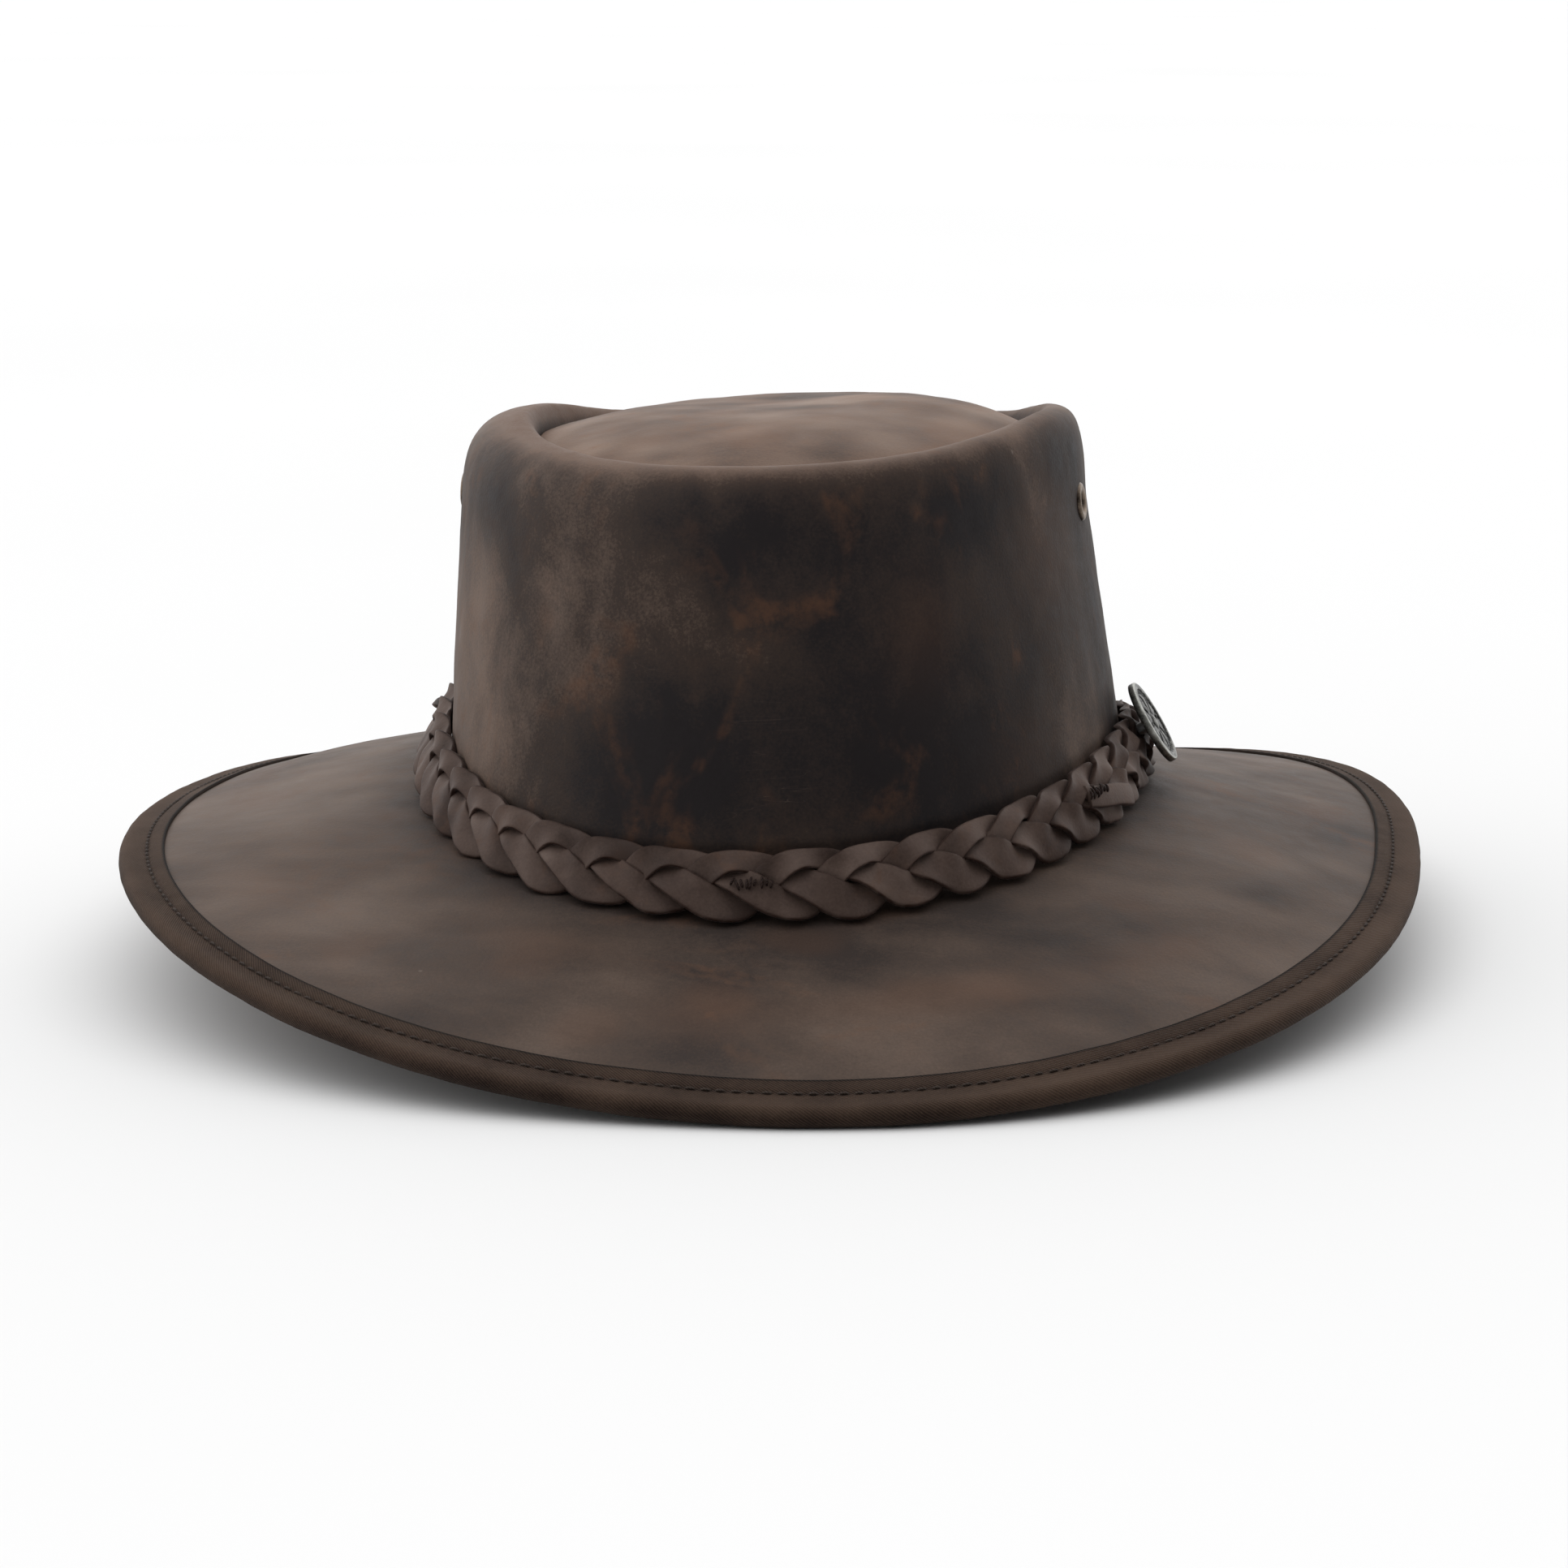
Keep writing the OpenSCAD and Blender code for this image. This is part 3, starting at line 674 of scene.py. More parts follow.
def crown_tip():
    flat = 34            # points across the middle of the panel; 11 more lie close together at its edge
    t = angles(480)
    s = np.concatenate([np.linspace(0, 0.9, flat), 1 - (1 - np.linspace(0, 1, 12)[1:]) ** 1.5 * 0.1])
    edge = trough_r(t) - 0.05
    top = stack(s[None] * edge[:, None], dome_z(t[:, None], s[None]))
    hem = stack(edge, trough_z(t) - 0.3)[:, None] + np.array([0, -HEM + 0.3]) * np.linspace(0, 1, 5)[1:, None]
    path = np.concatenate([top, hem], 1)
    bend = flat + 6      # the turn down into the hem starts here
    path[:, bend:] = soften(path[:, bend:], 2)
    p = place(t[:, None], path[..., 0], path[..., 1])
    share = path[..., 0] / edge[:, None]
    free = smooth(1 - share, 0.02, 0.25)
    path[..., 1] += free * (0.5 * waves(p, 70, 21) + 0.08 * waves(p, 20, 22) + 0.012 * waves(p, 7, 23))
    out = -path_normals(path)
    section = np.concatenate([path, (path - out * LEATHER)[:, ::-1]], 1)
    section[:, -1, 0] = 0
    below_top = section[:, :flat, 1][:, ::-1] - LEATHER * 0.9
    section[:, -flat:, 1] = np.minimum(section[:, -flat:, 1], below_top)
    tt, r, z = points_of(section, t)
    share = r / edge[:, None]
    p = place(tt, r, z)
    x, y = p[..., 0], p[..., 1]
    # Painted highlight: a broad pale patch on the front of the dome, and paler colour towards the hat's right
    # side.
    tip_front_painted_sheen = np.exp(-((x - 3.316) / 24) ** 2 - ((y + 30) / 16) ** 2)
    tip_right_painted_light = np.exp(-((x + 50) / 24) ** 2)
    tone = 0.5 * smooth(share, 0.7, 1.0) + 0.9 * tip_front_painted_sheen + 0.7 * tip_right_painted_light
    tone = tone + 0.4 * waves(p, 42, 24) + 0.3 * waves(p, 19, 25)
    rub = 0.6 * smooth(share, 0.82, 1.0) + 0.45 * smooth(waves(p, 34, 26), 0.3, 1.6)
    piece = grid_object("crown_tip", p, wrap_v=False, values={"tone": tone, "rub": rub, "cut": 0.0})
    close_poles(piece)
    return finish_piece(piece, "hat", "crown_leather", TIP_LEATHER_PAINTED_LIGHT, "crown_tip")


# ---- brim, binding and their stitches ----

# Patches of the brim: angle, radius, half width, half depth, then the level, as on the crown. Besides the
# leather's own mottling, the light ones near t = 180, on the hat's right, are partly painted highlight,
# and the dark ones across the front partly painted shade.
BRIM_MOTTLE_AND_PAINTED_LIGHT = [(-50, 135, 22, 14, -0.5), (-160, 132, 46, 34, 0.5), (150, 132, 34, 30, 0.6),
                (-78, 132, 40, 12, -0.7), (-120, 150, 26, 14, 0.3), (-60, 155, 24, 9, 0.2),
                (-95, 160, 22, 9, 0.1), (-85, 118, 60, 12, -0.4), (175, 110, 26, 14, 0.5),
                (0, 120, 30, 20, 0.3)]
BRIM_RUBS = [(-88, 155, 9, 8, 0.5), (-68, 150, 20, 6, 0.6), (-106, 134, 11, 6, 0.5),
             (-135, 150, 10, 7, 0.4), (-48, 146, 12, 7, 0.4), (178, 138, 12, 6, 0.6),
             (4, 132, 14, 7, 0.4), (95, 140, 20, 8, 0.5)]


def brim():
    t = angles(720)
    inner = seam_r(t) - LEATHER
    outer = edge_r(t) - ROLL - 0.9
    r = mix(inner[:, None], outer[:, None], np.linspace(0, 1, 64)[None])
    z = brim_z(t[:, None], r) + LEATHER / 2
    p = place(t[:, None], r, z)
    share = (r - inner[:, None]) / (outer - inner)[:, None]
    free = smooth(share, 0.02, 0.22) * smooth(1 - share, 0.10, 0.35)
    z = z + free * (0.45 * waves(p, 90, 31) + 0.08 * waves(p, 26, 32) + 0.012 * waves(p, 8, 33))
    section = sheet_section(stack(r, z)[:, ::-1], LEATHER)
    tt, r, z = points_of(section, t)
    p = place(tt, r, z)
    # Painted shade: the brim is darkened next to the crown, under the plait.
    crown_foot_painted_shade = np.exp(-((r - seam_r(tt) - 8) / 9) ** 2)
    tone = patches_at(BRIM_MOTTLE_AND_PAINTED_LIGHT, tt, r) + 0.18 * waves(p, 44, 34) + 0.14 * waves(p, 20, 35)
    tone = tone - 0.9 * crown_foot_painted_shade
    rub = patches_at(BRIM_RUBS, tt, r) + 0.4 * smooth(waves(p * [1, 1.6, 1], 36, 36), 0.6, 2.0)
    piece = grid_object("brim", p, values={"tone": tone, "rub": np.clip(rub, 0, 1), "cut": 0.0})
    return finish_piece(piece, "hat", "brim_leather", BRIM_LEATHER, "brim")


STITCH_PITCH = 3.3
STITCH_IN = 4.0      # binding stitches stand this far out from the binding's inner edge


def flange_r(t, share):
    return edge_r(t) + ROLL - FLANGE * share


def binding():
    face, roll_points = 22, 26       # points across each flat face, and round the roll between them
    t = angles(1600)
    tt = t[:, None]
    slope = np.degrees(np.arctan2((edge_z(t) - seam_z(t)) * 1.25, edge_r(t) - seam_r(t)))[:, None]
    share = np.linspace(1, 0.46, face)[None]
    top = stack(flange_r(tt, share), brim_z(tt, flange_r(tt, share)) + LEATHER / 2 + TAPE)
    low = stack(flange_r(tt, share), brim_z(tt, flange_r(tt, share)) - LEATHER / 2 - TAPE)
    turn = np.linspace(108, -108, roll_points)[None] + slope
    roll = stack(edge_r(tt) + ROLL * cos(turn), edge_z(tt) + ROLL * sin(turn))
    path = np.concatenate([top, roll, low[:, ::-1]], 1)[:, ::-1]
    path[:, 14:-14] = soften(path[:, 13:-13], 6)[:, 1:-1]
    along = lengths(place(t, edge_r(t), 0))
    dip = np.exp(-((np.abs(path[..., 0] - flange_r(tt, 1)) - STITCH_IN) / 1.0) ** 2)
    dip[:, face:face + roll_points] = 0
    pucker = 0.55 + 0.45 * np.abs(sin(along * 180 / STITCH_PITCH))[:, None]
    p = place(tt, path[..., 0], path[..., 1])
    swell = 0.02 * waves(p, 9, 41) + 0.03 * waves(p, 30, 42)
    lift = swell * smooth(np.arange(path.shape[1]), 1, 8) - 0.28 * dip * pucker
    section = sheet_section(path + path_normals(path) * lift[..., None], TAPE, 5, 0.3)
    tt2, r, z = points_of(section, t)
    into = r - flange_r(tt2, 1)
    # Near black along the tape's inner fold: its dark folded edge and a painted shadow where the edge stands
    # off the leather.
    edge_fold_shade = np.clip(1.3 * np.exp(-(into / 0.32) ** 2), 0, 1)
    stitch_groove_painted_shade = np.exp(-((into - STITCH_IN) / 0.6) ** 2)
    inside_line = smooth(-into, -STITCH_IN - 0.6, -STITCH_IN)
    underside_painted_shade = smooth(edge_z(tt2) - z, -2.2, 0.6)
    # Painted light and shade on the tape: paler over the outer roll and on the hat's sides, where it catches
    # the room light; darker in the stitch groove and on the roll's underside. It is also darker between the
    # inner edge and the stitch line.
    tone = 0.4 * smooth(into, 6, 9) - 0.7 * stitch_groove_painted_shade - 0.3 * inside_line
    tone = tone + 0.9 * cos(tt2) ** 2 - 1.1 * underside_painted_shade
    piece = grid_object("brim_binding", place(tt2, r, z), values={"tone": tone, "edge_fold_shade": edge_fold_shade})
    return finish_piece(piece, "hat", "binding_fabric", TWILL, "brim_binding")


STITCH_ARCH = 0.55       # how far a stitch stands over its holes, and its ends lie under them, in radii
STITCH_SINK = 0.9


def stitch_row(name, starts, ends, ups, radius, material, body, node):
    """One short thread loop for each pair of points: it rises from the leather and dives back in."""
    rings, sides = 9, 8
    u = np.linspace(0, 1, rings)
    angle = angles(sides)
    along = unit(ends - starts)
    ups = unit(ups - along * (ups * along).sum(-1, keepdims=True))
    side = np.cross(along, ups)
    hump = np.clip(np.sin(math.pi * u), 0, 1)
    height = radius * (-STITCH_SINK + (STITCH_ARCH + STITCH_SINK) * hump ** 0.45)
    centre = starts[:, None] + (ends - starts)[:, None] * u[None, :, None]
    centre = centre + ups[:, None] * height[None, :, None]
    thick = radius * (0.55 + 0.45 * hump ** 0.4)
    ring = (ups[:, None, None] * sin(angle)[None, None, :, None]
            + side[:, None, None] * cos(angle)[None, None, :, None]) * thick[None, :, None, None]
    verts = centre[:, :, None] + ring
    faces, uvs = [], []
    length = float(np.linalg.norm(ends - starts, axis=1).mean())
    for base in range(0, len(starts) * rings * sides, rings * sides):
        for i in range(rings - 1):
            here, ahead = base + i * sides, base + (i + 1) * sides
            for j in range(sides):
                l = (j + 1) % sides
                faces.append((here + j, here + l, ahead + l, ahead + j))
                a, b = u[i] * length, u[i + 1] * length
                c, d = j / sides * 6.3 * radius, (j + 1) / sides * 6.3 * radius
                uvs.extend([(a, c), (a, d), (b, d), (b, c)])
        faces.append(tuple(base + j for j in reversed(range(sides))))
        faces.append(tuple(base + (rings - 1) * sides + j for j in range(sides)))
        uvs.extend([(0, 0)] * sides + [(length, 0)] * sides)
    piece = mesh_object(name, verts.reshape(-1, 3), faces, uvs)
    return finish_piece(piece, body, "thread", material, *([node] if node else []))


def even_stations(curve, pitch):
    """Angles that space points along a closed curve evenly, about a pitch apart."""
    t = np.linspace(0, 360, 3601)
    length = lengths(curve(t))
    count = int(round(length[-1] / pitch))
    return np.interp(np.arange(count) * length[-1] / count, length, t)


def ring_stitches(name, curve, out, pitch, cover, radius, node, seed):
    """A row of stitches round a closed curve given as a function of t; out is the leather's normal."""
    at = even_stations(curve, pitch)
    step = np.diff(np.append(at, at[0] + 360)) * cover
    rng = np.random.default_rng(seed)
    shake = rng.normal(size=(len(at), 2)) * 0.06
    starts = curve(at) + out(at) * shake[:, :1] * 0.3
    ends = curve(at + step * (1 + shake[:, 1]))
    return stitch_row(name, starts, ends, out(at + step / 2), radius, THREAD, "hat", node)


def binding_stitches(name, side, node, seed):
    """The row that holds the binding, as it shows on top of the brim (side 1) or below it (side -1)."""
    def curve(t):
        r = flange_r(t, 1) + STITCH_IN
        return place(t, r, brim_z(t, r) + side * (LEATHER / 2 + TAPE - 0.22))

    def out(t):
        r = flange_r(t, 1) + STITCH_IN
        inward = place(t, r - 1, brim_z(t, r - 1)) - place(t, r + 1, brim_z(t, r + 1))
        return side * unit(np.cross(curve(t + 0.2) - curve(t - 0.2), inward))
    return ring_stitches(name, curve, out, STITCH_PITCH, 0.74, 0.33, node, seed)


# ---- plaited band ----

REPEATS = 15
LACE_W = 6.8
LACE_T = 1.8
LACE_APART = 1.35    # how far laces push each other apart where they cross
SWAY = 5.0           # how far a lace's middle swings to each side
LEANS = (8.0, 20.0)  # degrees by which the laces' waves lean over, on the hat's left and right
PLAIT_HALF = 8.4     # half of the plait's width
SAG = 1.6            # how far the crossings stand above the plait's middle
LACE_PHASES = 72     # rows of points in one repeat of a lace
LACE_V = np.linspace(-1, 1, 13)
SETTLE_ROUNDS = 300


def front_share(t):
    return sin(t) ** 2


def ring_r(t):
    return oval(87.9, 113.7, 2.1, t) + 1.9 * cos(t)


def plait_point(t, w, n):
    """A point w up the plait's slanting face and n out from its middle."""
    lean = 24.7 + 2.3 * front_share(t) + 0.6 * cos(t)
    r = ring_r(t) - w * sin(lean) + n * cos(lean)
    z = (7.67 - 14.9 * front_share(t) - 0.26 * sin(t) - 2.41 * cos(t) - 1.23 * sin(t) * cos(t)
         + w * cos(lean) + n * sin(lean))
    r = np.maximum(r, wall_r(t, z) + 0.35)
    return place(t, r, np.maximum(z, brim_z(t, r) + LEATHER / 2 + 0.3))


RING_T = np.linspace(-180, 180, 1441)
RING_LENGTH = lengths(place(RING_T, ring_r(RING_T), 0))
REPEAT_LENGTH = RING_LENGTH[-1] / REPEATS


def bump_index(t):
    """Counts the plait's upper turns round the hat: a whole number at each; hand work isn't quite even."""
    even = (np.interp(t, RING_T, RING_LENGTH) - np.interp(0, RING_T, RING_LENGTH)) / REPEAT_LENGTH * 3
    return even - 0.35 + 0.43 * np.exp(-((t + 118) / 34) ** 2)


def right_share(t):
    """0 on the hat's left and 1 on its right."""
    return np.clip(0.5 - 0.65 * cos(t), 0, 1)


def lace_middle(phase, lean):
    """Laces fall slowly and climb steeply, seen along the plait, and turn at phase 90."""
    late = phase - lean
    return SWAY * sin(late + lean * sin(late))


def lace_half(phase, lean):
    """Half of a lace's width, measured straight across the plait."""
    slope = (lace_middle(phase + 1, lean) - lace_middle(phase - 1, lean)) * 180 / REPEAT_LENGTH
    return LACE_W / 2 * np.sqrt(1 + slope * slope)


def across(table, v):
    """A table with a row for each place round the lace, read at places v across it."""
    f = (v + 1) / 2 * (len(LACE_V) - 1)
    low = np.minimum(f.astype(int), len(LACE_V) - 2)
    rows = np.arange(len(table))[:, None]
    return table[rows, low] * (1 - f + low) + table[rows, low + 1] * (f - low)


def settled_plait(lean):
    """Height of a lace over the plait's middle, by phase and place across.

    Each lace passes over the one a third of a repeat ahead of it. Overlapping laces push each
    other apart, and as leather this stiff can't pinch, only slow, even bends of each lace are kept."""
    phase = np.arange(LACE_PHASES) * 360.0 / LACE_PHASES
    third = LACE_PHASES // 3
    w = lace_middle(phase, lean)[:, None] + lace_half(phase, lean)[:, None] * LACE_V[None]
    height = np.repeat(1.2 * sin(2 * phase)[:, None], len(LACE_V), 1)

    def other(table, shift):
        """Height of the lace that many phases ahead at the same places, and whether it's there."""
        rows = (np.arange(LACE_PHASES) + shift) % LACE_PHASES
        v = (w - lace_middle(phase[rows], lean)[:, None]) / lace_half(phase[rows], lean)[:, None]
        return across(table[rows], np.clip(v, -1, 1)), np.abs(v) < 0.97

    for _ in range(SETTLE_ROUNDS):
        for _ in range(2):
            below, there = other(height, third)
            height = height + np.where(there, np.maximum(below + LACE_APART - height, 0), 0) * 0.5
            over, there = other(height, -third)
            height = height - np.where(there, np.maximum(height + LACE_APART - over, 0), 0) * 0.5
        bends = np.fft.rfft(height, axis=0)
        bends[4:] = 0
        height = np.fft.irfft(bends, LACE_PHASES, axis=0) * 0.99
        flat = np.polynomial.polynomial.polyfit(LACE_V, height.T, 1)
        height = np.polynomial.polynomial.polyval(LACE_V, flat)
    return height


# Outline of a lace's section: place across (-1 to 1) and height (-1 to 1), anticlockwise from the left
LACE_OUTLINE = ([(v, 1 - 0.10 * v * v) for v in np.linspace(-0.86, 0.86, 12)]
                + [(0.95, 0.80), (0.995, 0.45), (1.0, 0.0), (0.995, -0.45), (0.95, -0.85)]
                + [(v, -1.0) for v in np.linspace(0.86, -0.86, 12)]
                + [(-0.95, -0.85), (-0.995, -0.45), (-1.0, 0.0), (-0.995, 0.45), (-0.95, 0.80)])


def lace(k, heights):
    """Strand k of the plait, a third of a repeat from the next; heights are for the left and right."""
    n = REPEATS * LACE_PHASES
    length = np.arange(n) * RING_LENGTH[-1] / n
    t = np.interp(length, RING_LENGTH, RING_T)
    phase = np.mod(120 * bump_index(t) + 90 + 120 * k, 360)
    row = phase / 360 * LACE_PHASES
    v = np.array([p[0] for p in LACE_OUTLINE])
    up = np.array([p[1] for p in LACE_OUTLINE])
    first = np.floor(row).astype(int) % LACE_PHASES
    part = (row - np.floor(row))[:, None]
    left, right = (h[first] * (1 - part) + h[(first + 1) % LACE_PHASES] * part for h in heights)
    table = mix(left, right, right_share(t)[:, None])
    lean = mix(*LEANS, right_share(t))
    base = across(table, v)
    tt = t[:, None]
    ring = np.stack([60 * cos(t), 60 * sin(t), np.full(n, 20.0 * k)], -1)
    drift = 0.22 * waves(ring, 40, 51 + k) + 0.12 * waves(ring, 9, 61 + k)
    fat = 1 + 0.04 * waves(ring, 7, 71 + k)
    w = (lace_middle(phase, lean) + drift)[:, None] + (lace_half(phase, lean) * fat)[:, None] * v[None]
    w = w + SAG * (1 - (w / PLAIT_HALF) ** 2)
    skin = np.stack(np.broadcast_arrays(w, tt * 1.7, 9.0 * k), -1)
    out = base + LACE_T / 2 * up[None] + 0.04 * waves(skin, 5, 81 + k)
    # The edges are darkened twice, in tone and by the dark cut colour: the raw cut edge, and painted shade
    # where the laces meet.
    edge = np.clip((np.abs(v) - 0.84) / 0.12, 0, 1)
    nap = waves(place(tt, 100.0, w), 3.0, 91 + k)
    tone = 0.5 * waves(ring, 12, 95 + k)[:, None] - 0.3 * edge[None]
    cut = np.clip(edge[None] * (0.75 + 0.25 * nap), 0, 1)
    name = f"braid_strand_{k + 1}"
    piece = grid_object(name, plait_point(tt, w, out), values={"tone": tone, "rub": 0.0, "cut": cut})
    return finish_piece(piece, "hat_band", "plait_leather", PLAIT_LEATHER, name)


def lace_end(name, turn, rise, lift, slant, *nodes):
    """A cut end of lace lying over the plait: turn, rise and lift run from one end to the other.

    slant is how many degrees its far end is cut askew."""
    u = np.concatenate([[0, 0.008, 0.03], np.linspace(0.06, 0.94, 28), [0.97, 0.992, 1]])[:, None]
    v = np.array([p[0] for p in LACE_OUTLINE])[None]
    up = np.array([p[1] for p in LACE_OUTLINE])[None]
    t = mix(*turn, u) + slant * (v - 1) * u
    w = mix(*rise, u) + 2.75 * v + 0.12 * np.sin(9 * u + 2)
    n = mix(*lift, u) + 0.5 * np.sin(math.pi * u) + 0.85 * up - 0.35 * v * v
    # Dark cut edges, as on the laces: the raw edge and painted shade.
    cut = 0.7 * np.clip((np.abs(v) - 0.86) / 0.12, 0, 1)
    piece = grid_object(name, plait_point(t, w, n), wrap_u=False,
                        values={"tone": 0.2, "rub": 0.0, "cut": cut})
    fill_ends(piece)
    return finish_piece(piece, "hat_band", "plait_leather", PLAIT_LEATHER, *nodes)


# Groups of tack stitches: angle round the hat, place up the plait, and how far out of its middle.
TACKS = [(-85.0, 0.3, 2.7), (-32.3, 1.2, 4.1)]


def tack_stitches():
    """Two clusters of short dark stitches, irregular as they're sewn by hand."""
    rng = np.random.default_rng(7)
    starts, ends, ups = [], [], []
    for t0, w0, top in TACKS:
        for k in range(9):
            t = t0 + (k - 4) * 0.55 + rng.normal() * 0.12
            w = w0 + rng.normal() * 0.55
            slant = rng.uniform(-0.35, 0.35)
            reach = rng.uniform(0.8, 1.5)
            starts.append(plait_point(t - slant, w - reach, top))
            ends.append(plait_point(t + slant, w + reach, top))
            ups.append(plait_point(t, w, top + 1) - plait_point(t, w, top))
    return stitch_row("plait_tack_stitches", np.array(starts), np.array(ends), np.array(ups), 0.34,
                      DARK_THREAD, "hat_band", "plait_tack_stitches")


# ---- badge and eyelets ----

def badge():
    """Round badge: a bevelled rim, a ring of beads, eight petals with deep slots between, a boss."""
    around = 320
    joint = next(j for j in frame["joints"] if j["name"] == "badge_turn")
    axis = np.array(joint["axis"])
    centre = np.array(joint["pos_m"]) / MM
    low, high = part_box("badge_disc")
    radius = (high.y - low.y) / 2 / MM
    curl = radius - 0.5              # the front's edge is rounded from here out
    x = unit(np.cross(axis, [0, 1.0, 0]))
    y = np.cross(axis, x)
    a = angles(around)[:, None]
    r = np.concatenate([np.linspace(0.0, curl, 64), curl + 0.5 * np.sin(np.linspace(0.2, 1.57, 7))])
    s = r / radius
    rim = smooth(s, 0.80, 0.84) * 0.55
    bead = 0.28 * np.maximum(cos(a * 36), 0) ** 0.6 * np.exp(-((s - 0.75) / 0.035) ** 2)
    petal = 0.34 * np.sqrt(np.clip(1 - (np.mod(a, 45) - 22.5) ** 2 / 330, 0, 1))
    petal = petal * smooth(s, 0.24, 0.32) * (1 - smooth(s, 0.60, 0.70))
    boss = 0.75 * np.sqrt(np.clip(1 - (s / 0.2) ** 2, 0, 1))
    slot = (smooth(s, 0.36, 0.39) * (1 - smooth(s, 0.66, 0.69))
            * (1 - smooth(np.abs(np.mod(a + 22.5, 45) - 22.5) * s, 2.3, 3.3)))
    shape = 1.35 + rim + bead + petal + boss
    height = mix(shape, 0.35, slot)
    # Paler on the raised relief, where the metal is rubbed, and on the rim's outer corner, partly rubbed and
    # partly a painted glint.
    wear_and_glint = np.clip(0.75 * (height - 1.6), 0, 1) + 0.5 * smooth(s, 0.93, 0.97)
    drop = np.where(r > curl, 0.45 * (1 - np.sqrt(np.clip(1 - ((r - curl) / 0.5) ** 2, 0, 1))), 0)
    height = height - drop
    side_r = np.array([radius, radius, radius - 0.12, radius - 0.5, radius - 1.5, radius * 0.5, 0.0])
    side_h = np.array([1.45, 0.45, 0.16, 0.0, 0.0, 0.0, 0.0])
    # The side's front corner is paler: rubbing, with a painted glint.
    side_wear_and_glint = np.array([0.6, 0.15, 0.3, 0.1, 0, 0, 0])

    def with_side(front, side):
        return np.concatenate([np.broadcast_to(front, (around, len(r))),
                               np.broadcast_to(side, (around, len(side)))], 1)

    rr, hh = with_side(r, side_r), with_side(height, side_h)
    grid = centre + (rr * cos(a))[..., None] * x + (rr * sin(a))[..., None] * y + hh[..., None] * axis
    piece = grid_object("badge_disc", grid, wrap_v=False, values={"wear_and_glint": with_side(wear_and_glint, side_wear_and_glint)})
    close_poles(piece)
    return finish_piece(piece, "badge", "badge_metal", SILVER, "badge_disc")


def eyelets():
    """Both vents, each set square to the crown wall."""
    half, hole = 4.8, 2.25           # radius of the flange and of the opening
    for side, t in VENTS.items():
        here, axis = vent_frame(t)
        rim = [(half, 0.15), (half + 0.03, 0.50), (half - 0.1, 0.85), (half - 0.45, 1.20),
               (half - 0.95, 1.38), (half - 1.5, 1.30), (hole + 0.35, 0.95), (hole + 0.1, 0.4),
               (hole, -0.4), (hole, -3.1), (hole + 0.36, -3.1), (hole + 0.38, -0.4), (hole + 0.7, 0.12)]
        wear_and_glint = np.array([0.1, 0.2, 0.4, 0.8, 1.0, 1.0, 0.7, 0.2, 0, 0, 0, 0, 0]) * 0.7
        piece = lathe(f"vent_eyelet_{side}", rim, 96, axis, here, {"wear_and_glint": wear_and_glint[None]})
        finish_piece(piece, "hat", "eyelet_metal", BRONZE, f"vent_eyelet_{side}")


# ---- inside of the hat, and seams ----

SWEATBAND_H = 38.0
SWEATBAND_T = 1.5
SWEATBAND_GAP = 0.55     # between the band and the crown's leather


def sweatband():
    t = angles(540)
    u = np.linspace(0, 1, 30)
    z = (seam_z(t) - LEATHER)[:, None] + SWEATBAND_H * u[None]
    r = wall_r(t[:, None], np.maximum(z, seam_z(t)[:, None])) - LEATHER - SWEATBAND_GAP
    p = place(t[:, None], r, z)
    r = r - 0.25 * smooth(u, 0.1, 0.6)[None] * (1 + 0.5 * waves(p, 35, 101)) * smooth(1 - u, 0, 0.2)[None]
    section = sheet_section(stack(r, z), SWEATBAND_T, 6, 0.5)
    piece = grid_object("sweatband", place(*points_of(section, t)))
    return finish_piece(piece, "hat", "sweatband_fabric", COTTON, "sweatband")


def seam_row(name, r, z, rise, side, cover, seed):
    """Stitches round the hat at radius r(t) and height z(t); rise and side say which way they face."""
    def curve(t):
        return place(t, r(t), z(t))

    def out(t):
        return side * unit(place(t, 1.0, rise - LIFT))
    return ring_stitches(name, curve, out, 5.0, cover, 0.35, name, seed)


def seam_stitches():
    """The rows of the sweatband, of the tip's hem, and where the brim meets the crown."""
    row_up = 2.0         # the sweatband's row stands this far above the brim seam
    seam_row("sweatband_thread",
             lambda t: wall_r(t, seam_z(t) + row_up) - LEATHER - SWEATBAND_GAP - SWEATBAND_T - 0.1,
             lambda t: seam_z(t) + row_up, 0, -1, 0.7, 8)
    seam_row("tip_seam_thread", lambda t: trough_r(t) + LEATHER + 0.1,
             lambda t: trough_z(t) - HEM / 2, 0, 1, 0.7, 9)
    seam_row("brim_seam_thread", lambda t: seam_r(t) + 0.45,
             lambda t: brim_z(t, seam_r(t)) + LEATHER / 2 + 0.35, 1, 1, 0.72, 10)


def back_seam_stitches():
    """A row of upright stitches on each side of the crown's back seam."""
    count, pitch, length = 15, 3.6, 2.6
    side = np.repeat([-1, 1], count)
    t = 90 + side * 1.6
    z = 15.8 + seam_z(90.0) + pitch * np.tile(np.arange(count), 2)
    starts = place(t, wall_r(t, z) + 0.2, z)
    ends = place(t, wall_r(t, z + length) + 0.2, z + length)
    return stitch_row("back_seam_thread", starts, ends, np.stack([cos(t), sin(t), 0 * t], -1), 0.34, THREAD,
                      "hat", "back_seam_thread")


HIDDEN_NODES = {"brim_wire": STEEL, "wire_sleeve": BRASS, "vent_washer_right": BRONZE,
                "vent_washer_left": BRONZE, "badge_screw": STEEL, "badge_nut": STEEL}


def dress_hidden_nodes():
    """CAD nodes whose shape is already right get their materials."""
    for name, material in HIDDEN_NODES.items():
        materials = frame["nodes"][name].data.materials
        materials.clear()
        materials.append(material)


# ---- stage ----

FLOOR_HALF = 60000.0
ROOM_BRIGHT_FROM = Vector((-0.50, 0.76, 0.42)).normalized()


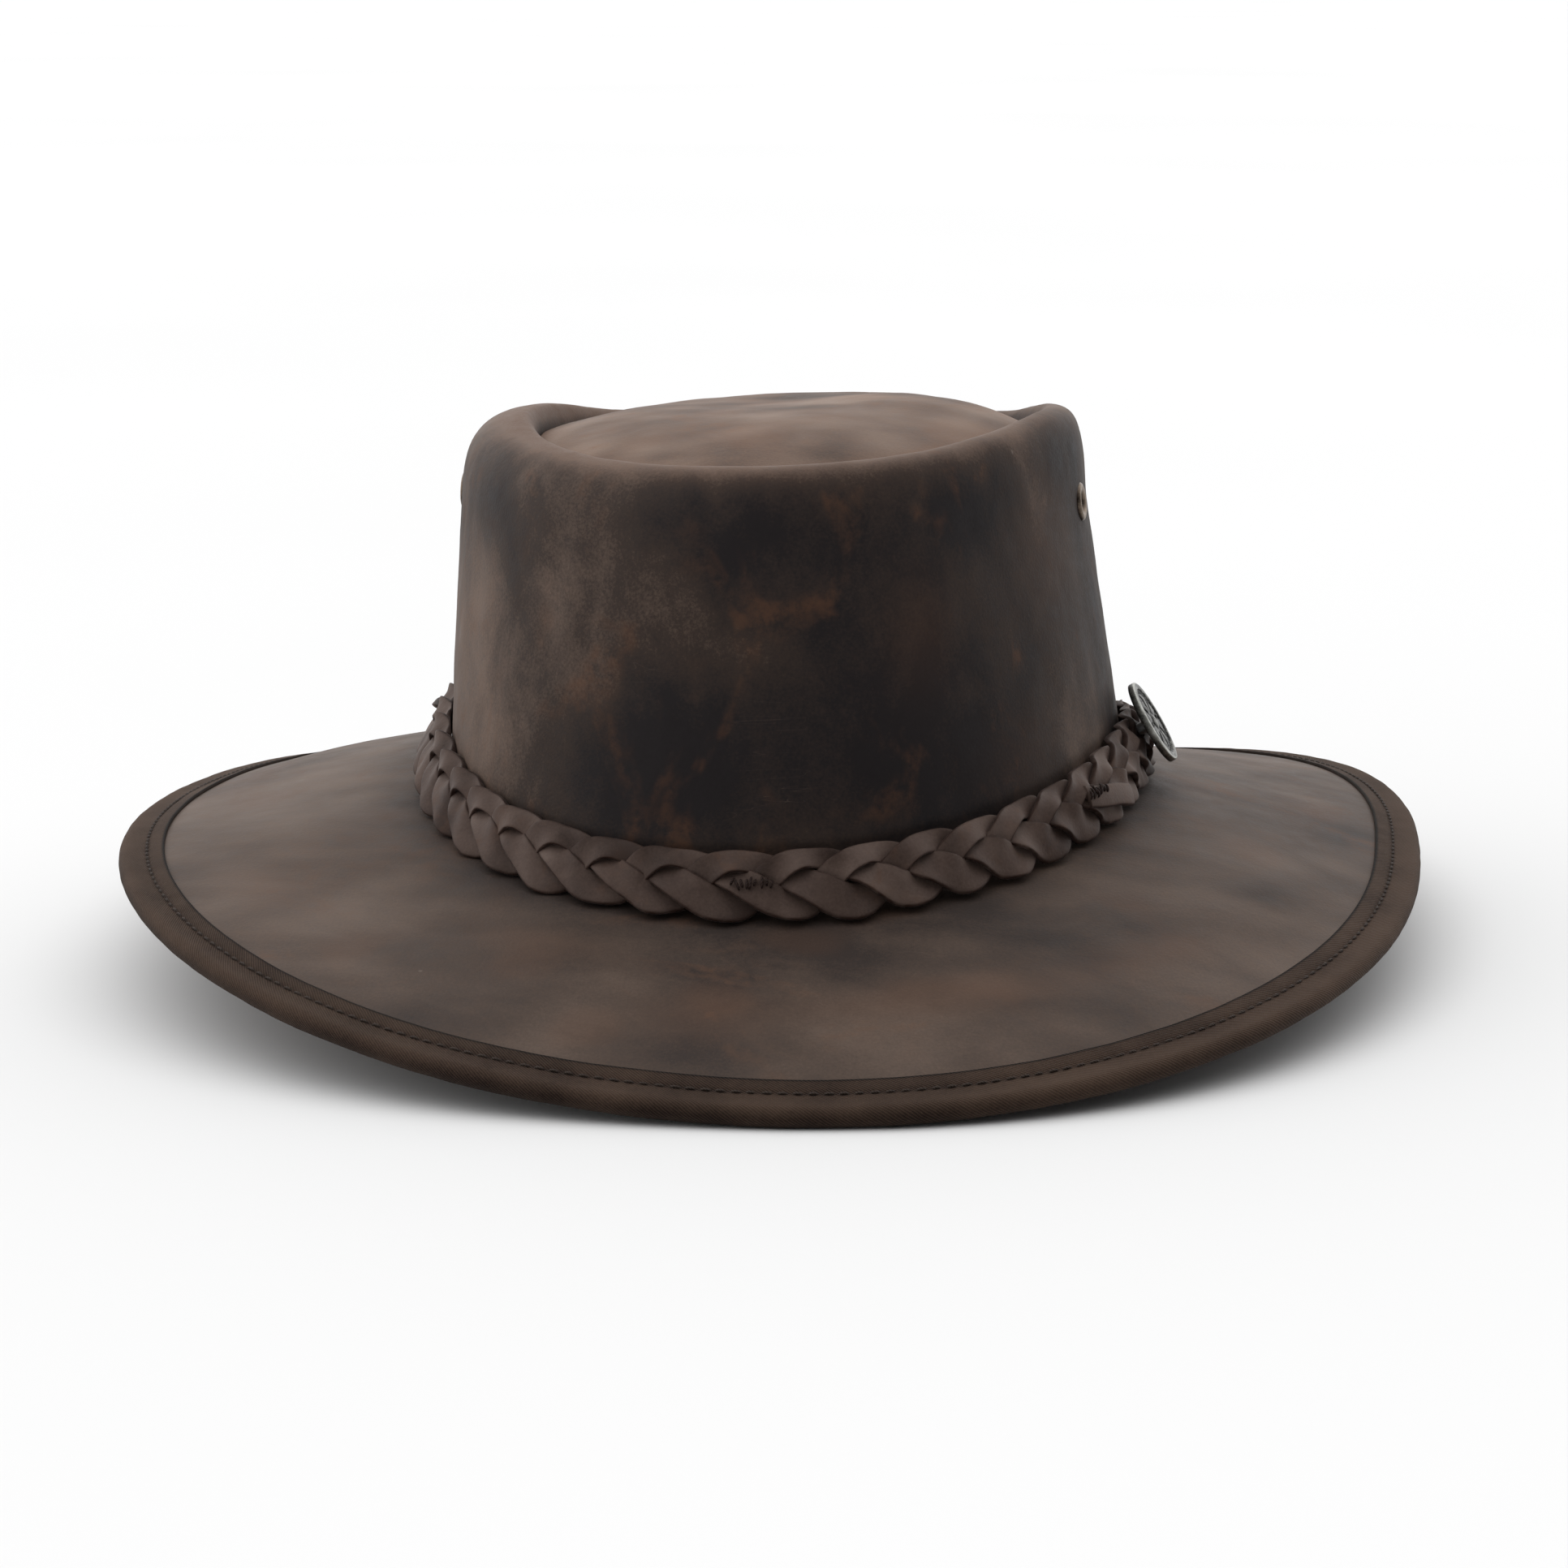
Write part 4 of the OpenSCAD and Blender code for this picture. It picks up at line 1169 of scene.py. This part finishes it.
def add_floor():
    n = Nodes("floor_paper")
    tone = n.noise(n.millimetres(), 900, 2)
    n.put(n.surface, {"Base Color": n.ramp(tone, [(0.2, (0.80, 0.80, 0.80)), (0.8, (0.83, 0.83, 0.83))]),
                      "Roughness": 0.9, "Specular IOR Level": 0.1})
    corners = np.array([(-1.0, -1, 0), (1, -1, 0), (1, 1, 0), (-1, 1, 0)])
    floor = mesh_object("floor", FLOOR_HALF * corners, [(0, 1, 2, 3)])
    floor.data.materials.append(n.material)


def add_world():
    """One large soft light: the room is brightest behind the hat and over its right, and dim in front."""
    world = bpy.data.worlds.new("soft_room")
    bpy.context.scene.world = world
    world.use_nodes = True
    tree = world.node_tree
    background = tree.nodes["Background"]
    coords = tree.nodes.new("ShaderNodeTexCoord")
    toward = tree.nodes.new("ShaderNodeVectorMath")
    toward.operation = "DOT_PRODUCT"
    toward.inputs[1].default_value = ROOM_BRIGHT_FROM
    half = tree.nodes.new("ShaderNodeMath")
    half.operation = "MULTIPLY_ADD"
    half.inputs[1].default_value = half.inputs[2].default_value = 0.5
    ramp = tree.nodes.new("ShaderNodeValToRGB")
    tree.links.new(coords.outputs["Generated"], toward.inputs[0])
    tree.links.new(toward.outputs["Value"], half.inputs[0])
    tree.links.new(half.outputs[0], ramp.inputs["Fac"])
    tree.links.new(ramp.outputs["Color"], background.inputs["Color"])
    ramp.color_ramp.interpolation = "EASE"
    elements = ramp.color_ramp.elements
    elements[0].position, elements[0].color = 0.18, (0.02, 0.02, 0.022, 1)
    elements[1].position, elements[1].color = 0.72, (1.0, 1.0, 1.0, 1)
    background.inputs["Strength"].default_value = 1.60


# ---- build ----

crown_side()
crown_tip()
brim()
binding()
binding_stitches("binding_thread", 1, "binding_thread", 5)
binding_stitches("binding_thread_under", -1, None, 6)
plait_heights = [settled_plait(lean) for lean in LEANS]
for k in range(3):
    lace(k, plait_heights)
lace_end("band_end_tab", (176, 193.4), (-1.0, 2.3), (1.5, 3.3), 5.0, "band_end_tab")
lace_end("band_lace_end", (-34.5, -22), (1.0, -4.6), (2.6, 2.9), 0.3)
tack_stitches()
badge()
eyelets()
sweatband()
seam_stitches()
back_seam_stitches()
dress_hidden_nodes()
add_floor()
add_world()
bpy.context.scene.view_settings.view_transform = "Standard"
